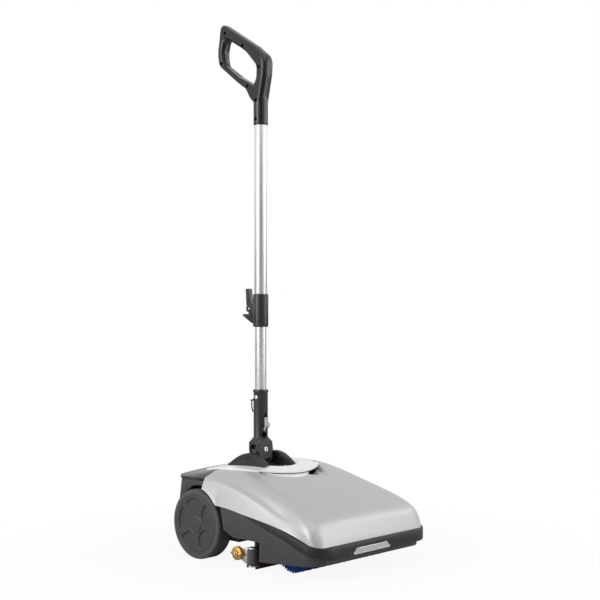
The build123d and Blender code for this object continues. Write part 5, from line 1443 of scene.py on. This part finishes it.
def lamp(name, place, target, size, power):
    """Soft rectangular light that points at target."""
    data = bpy.data.lights.new(name, "AREA")
    data.shape = "RECTANGLE"
    data.size, data.size_y = size
    data.energy = power
    thing = bpy.data.objects.new(name, data)
    thing.location = place
    thing.rotation_euler = (Vector(target) - Vector(place)).to_track_quat("-Z", "Y").to_euler()
    bpy.context.scene.collection.objects.link(thing)


class SCRUBBER_OT_stage(bpy.types.Operator):
    """Pale floor, soft light and the camera"""

    bl_idname = "scrubber.stage"
    bl_label = "Stage"

    def execute(self, context):
        stage = context.scene.scrubber.stage
        context.scene.view_settings.view_transform = "Standard"
        self.floor(stage)
        self.sky(context, stage)
        centre = (0, 0, 0.35)
        lamp("Overhead light", (-0.4, -0.7, 2.4), centre, (1.8, 1.8), stage.key_power)
        lamp("Right light", (-2.2, 0.6, 0.9), centre, (1.1, 2.2), 1.25 * stage.side_power)
        lamp("Rim light", (1.8, -0.95, 1.7), (0, FRONT_Y, 0.1), (0.5, 1.2), stage.rim_power)
        lamp("Left light", (1.3, -2.0, 0.9), centre, (1.1, 2.2), 0.85 * stage.side_power)
        self.flag(stage)
        self.camera(context, stage)
        return {"FINISHED"}

    def floor(self, stage):
        """Floor that takes the shadows near the part and fades to white."""
        finish = Finish(bpy.data.materials.new("Pale studio floor"))
        seen = finish.add("ShaderNodeLightPath", output="Is Camera Ray")
        cloud = finish.noise(0.4, 2)
        away = finish.add("ShaderNodeVectorMath", {0: finish.spot()}, output="Value", operation="LENGTH")
        far = finish.add("ShaderNodeMapRange", {
            "Value": away, "From Min": 0.25, "From Max": 0.8, "To Min": stage.floor_white, "To Max": 1.0},
            interpolation_type="SMOOTHSTEP")
        paint = finish.add("ShaderNodeBsdfDiffuse", {
            "Color": finish.between(cloud, (0.86, 0.86, 0.86), (0.90, 0.90, 0.90))})
        white = finish.add("ShaderNodeEmission", {"Color": (1, 1, 1, 1), "Strength": 1.0})
        mixed = finish.add("ShaderNodeMixShader", {0: seen * far, 1: paint, 2: white})
        finish.add("ShaderNodeOutputMaterial", {"Surface": mixed})
        bm = bmesh.new()
        bmesh.ops.create_grid(bm, x_segments=1, y_segments=1, size=12)
        linked("studio_floor", bm, finish.owner)

    def sky(self, context, stage):
        """World: white where it is seen or mirrored, an even soft light elsewhere."""
        world = bpy.data.worlds.new("Studio")
        context.scene.world = world
        finish = Finish(world)
        seen = finish.add("ShaderNodeLightPath", output="Is Camera Ray")
        mirrored = finish.add("ShaderNodeLightPath", output="Is Glossy Ray")
        through = finish.add("ShaderNodeLightPath", output="Is Transmission Ray")
        shown = (seen + mirrored + through) > 0.5
        even = finish.add("ShaderNodeBackground", {"Color": (1, 1, 1, 1), "Strength": stage.sky})
        backdrop = finish.add("ShaderNodeBackground", {"Color": (1, 1, 1, 1), "Strength": 1.0})
        mixed = finish.add("ShaderNodeMixShader", {0: shown, 1: even, 2: backdrop})
        finish.add("ShaderNodeOutputWorld", {"Surface": mixed})

    def flag(self, stage):
        """Dark card beside the camera, seen only in reflections, that gives round metal its darker stripe."""
        aim = stage.camera_turn - FLAG_TURN
        finish = Finish(bpy.data.materials.new("Dark studio cloth"))
        weave = finish.noise(2 * MM, 2)
        finish.close({"Base Color": finish.between(weave, (0.08, 0.08, 0.08), (0.12, 0.12, 0.12)),
                      "Roughness": 0.9})
        place = Matrix.Translation((-FLAG_AWAY * math.sin(aim), -FLAG_AWAY * math.cos(aim), FLAG_Z))
        stood = Matrix.Rotation(-aim, 4, "Z") @ Matrix.Rotation(math.radians(90), 4, "X")
        bm = bmesh.new()
        bmesh.ops.create_grid(bm, x_segments=1, y_segments=1, size=0.5,
                              matrix=place @ stood @ Matrix.Diagonal((*FLAG_SIZE, 1, 1)))
        card = linked("studio_flag", bm, finish.owner)
        card.visible_camera = False
        card.visible_diffuse = False
        card.visible_shadow = False

    def camera(self, context, stage):
        """Level camera where the photograph was taken from."""
        data = bpy.data.cameras.new("Photo camera")
        data.lens = stage.lens
        data.sensor_width = 36.0
        camera = bpy.data.objects.new("Photo camera", data)
        camera.location = stage.camera_place
        camera.rotation_euler = (math.pi / 2, 0, -stage.camera_turn)
        context.scene.collection.objects.link(camera)
        context.scene.camera = camera


OPERATORS = (
    SCRUBBER_OT_stage,
    SCRUBBER_OT_cover,
    SCRUBBER_OT_collar,
    SCRUBBER_OT_shells,
    SCRUBBER_OT_wheels,
    SCRUBBER_OT_foot,
    SCRUBBER_OT_tubes,
    SCRUBBER_OT_grip,
    SCRUBBER_OT_brush,
    SCRUBBER_OT_squeegee,
    SCRUBBER_OT_inside,
)


class SCRUBBER_PT_panel(bpy.types.Panel):
    """Lists the pieces and what a user would change"""

    bl_idname = "SCRUBBER_PT_panel"
    bl_label = "Floor scrubber"
    bl_space_type = "VIEW_3D"
    bl_region_type = "UI"
    bl_category = "Scrubber"

    def draw(self, context):
        for operator in OPERATORS:
            self.layout.operator(operator.bl_idname)
        look = context.scene.scrubber
        for group in (look.shape, look.colours, look.stage):
            box = self.layout.box()
            for name in group.__annotations__:
                box.prop(group, name)


CLASSES = (ScrubberShape, ScrubberColours, ScrubberStage, ScrubberLook, *OPERATORS, SCRUBBER_PT_panel)


def register():
    """Makes the classes and the look known to Blender."""
    for entry in CLASSES:
        bpy.utils.register_class(entry)
    bpy.types.Scene.scrubber = PointerProperty(type=ScrubberLook)


def unregister():
    """Takes them out again."""
    del bpy.types.Scene.scrubber
    for entry in reversed(CLASSES):
        bpy.utils.unregister_class(entry)


def main():
    """Builds every piece."""
    register()
    make_finishes(bpy.context.scene.scrubber.colours)
    for operator in OPERATORS:
        group, name = operator.bl_idname.split(".")
        getattr(getattr(bpy.ops, group), name)()


if __name__ == "__main__":
    main()
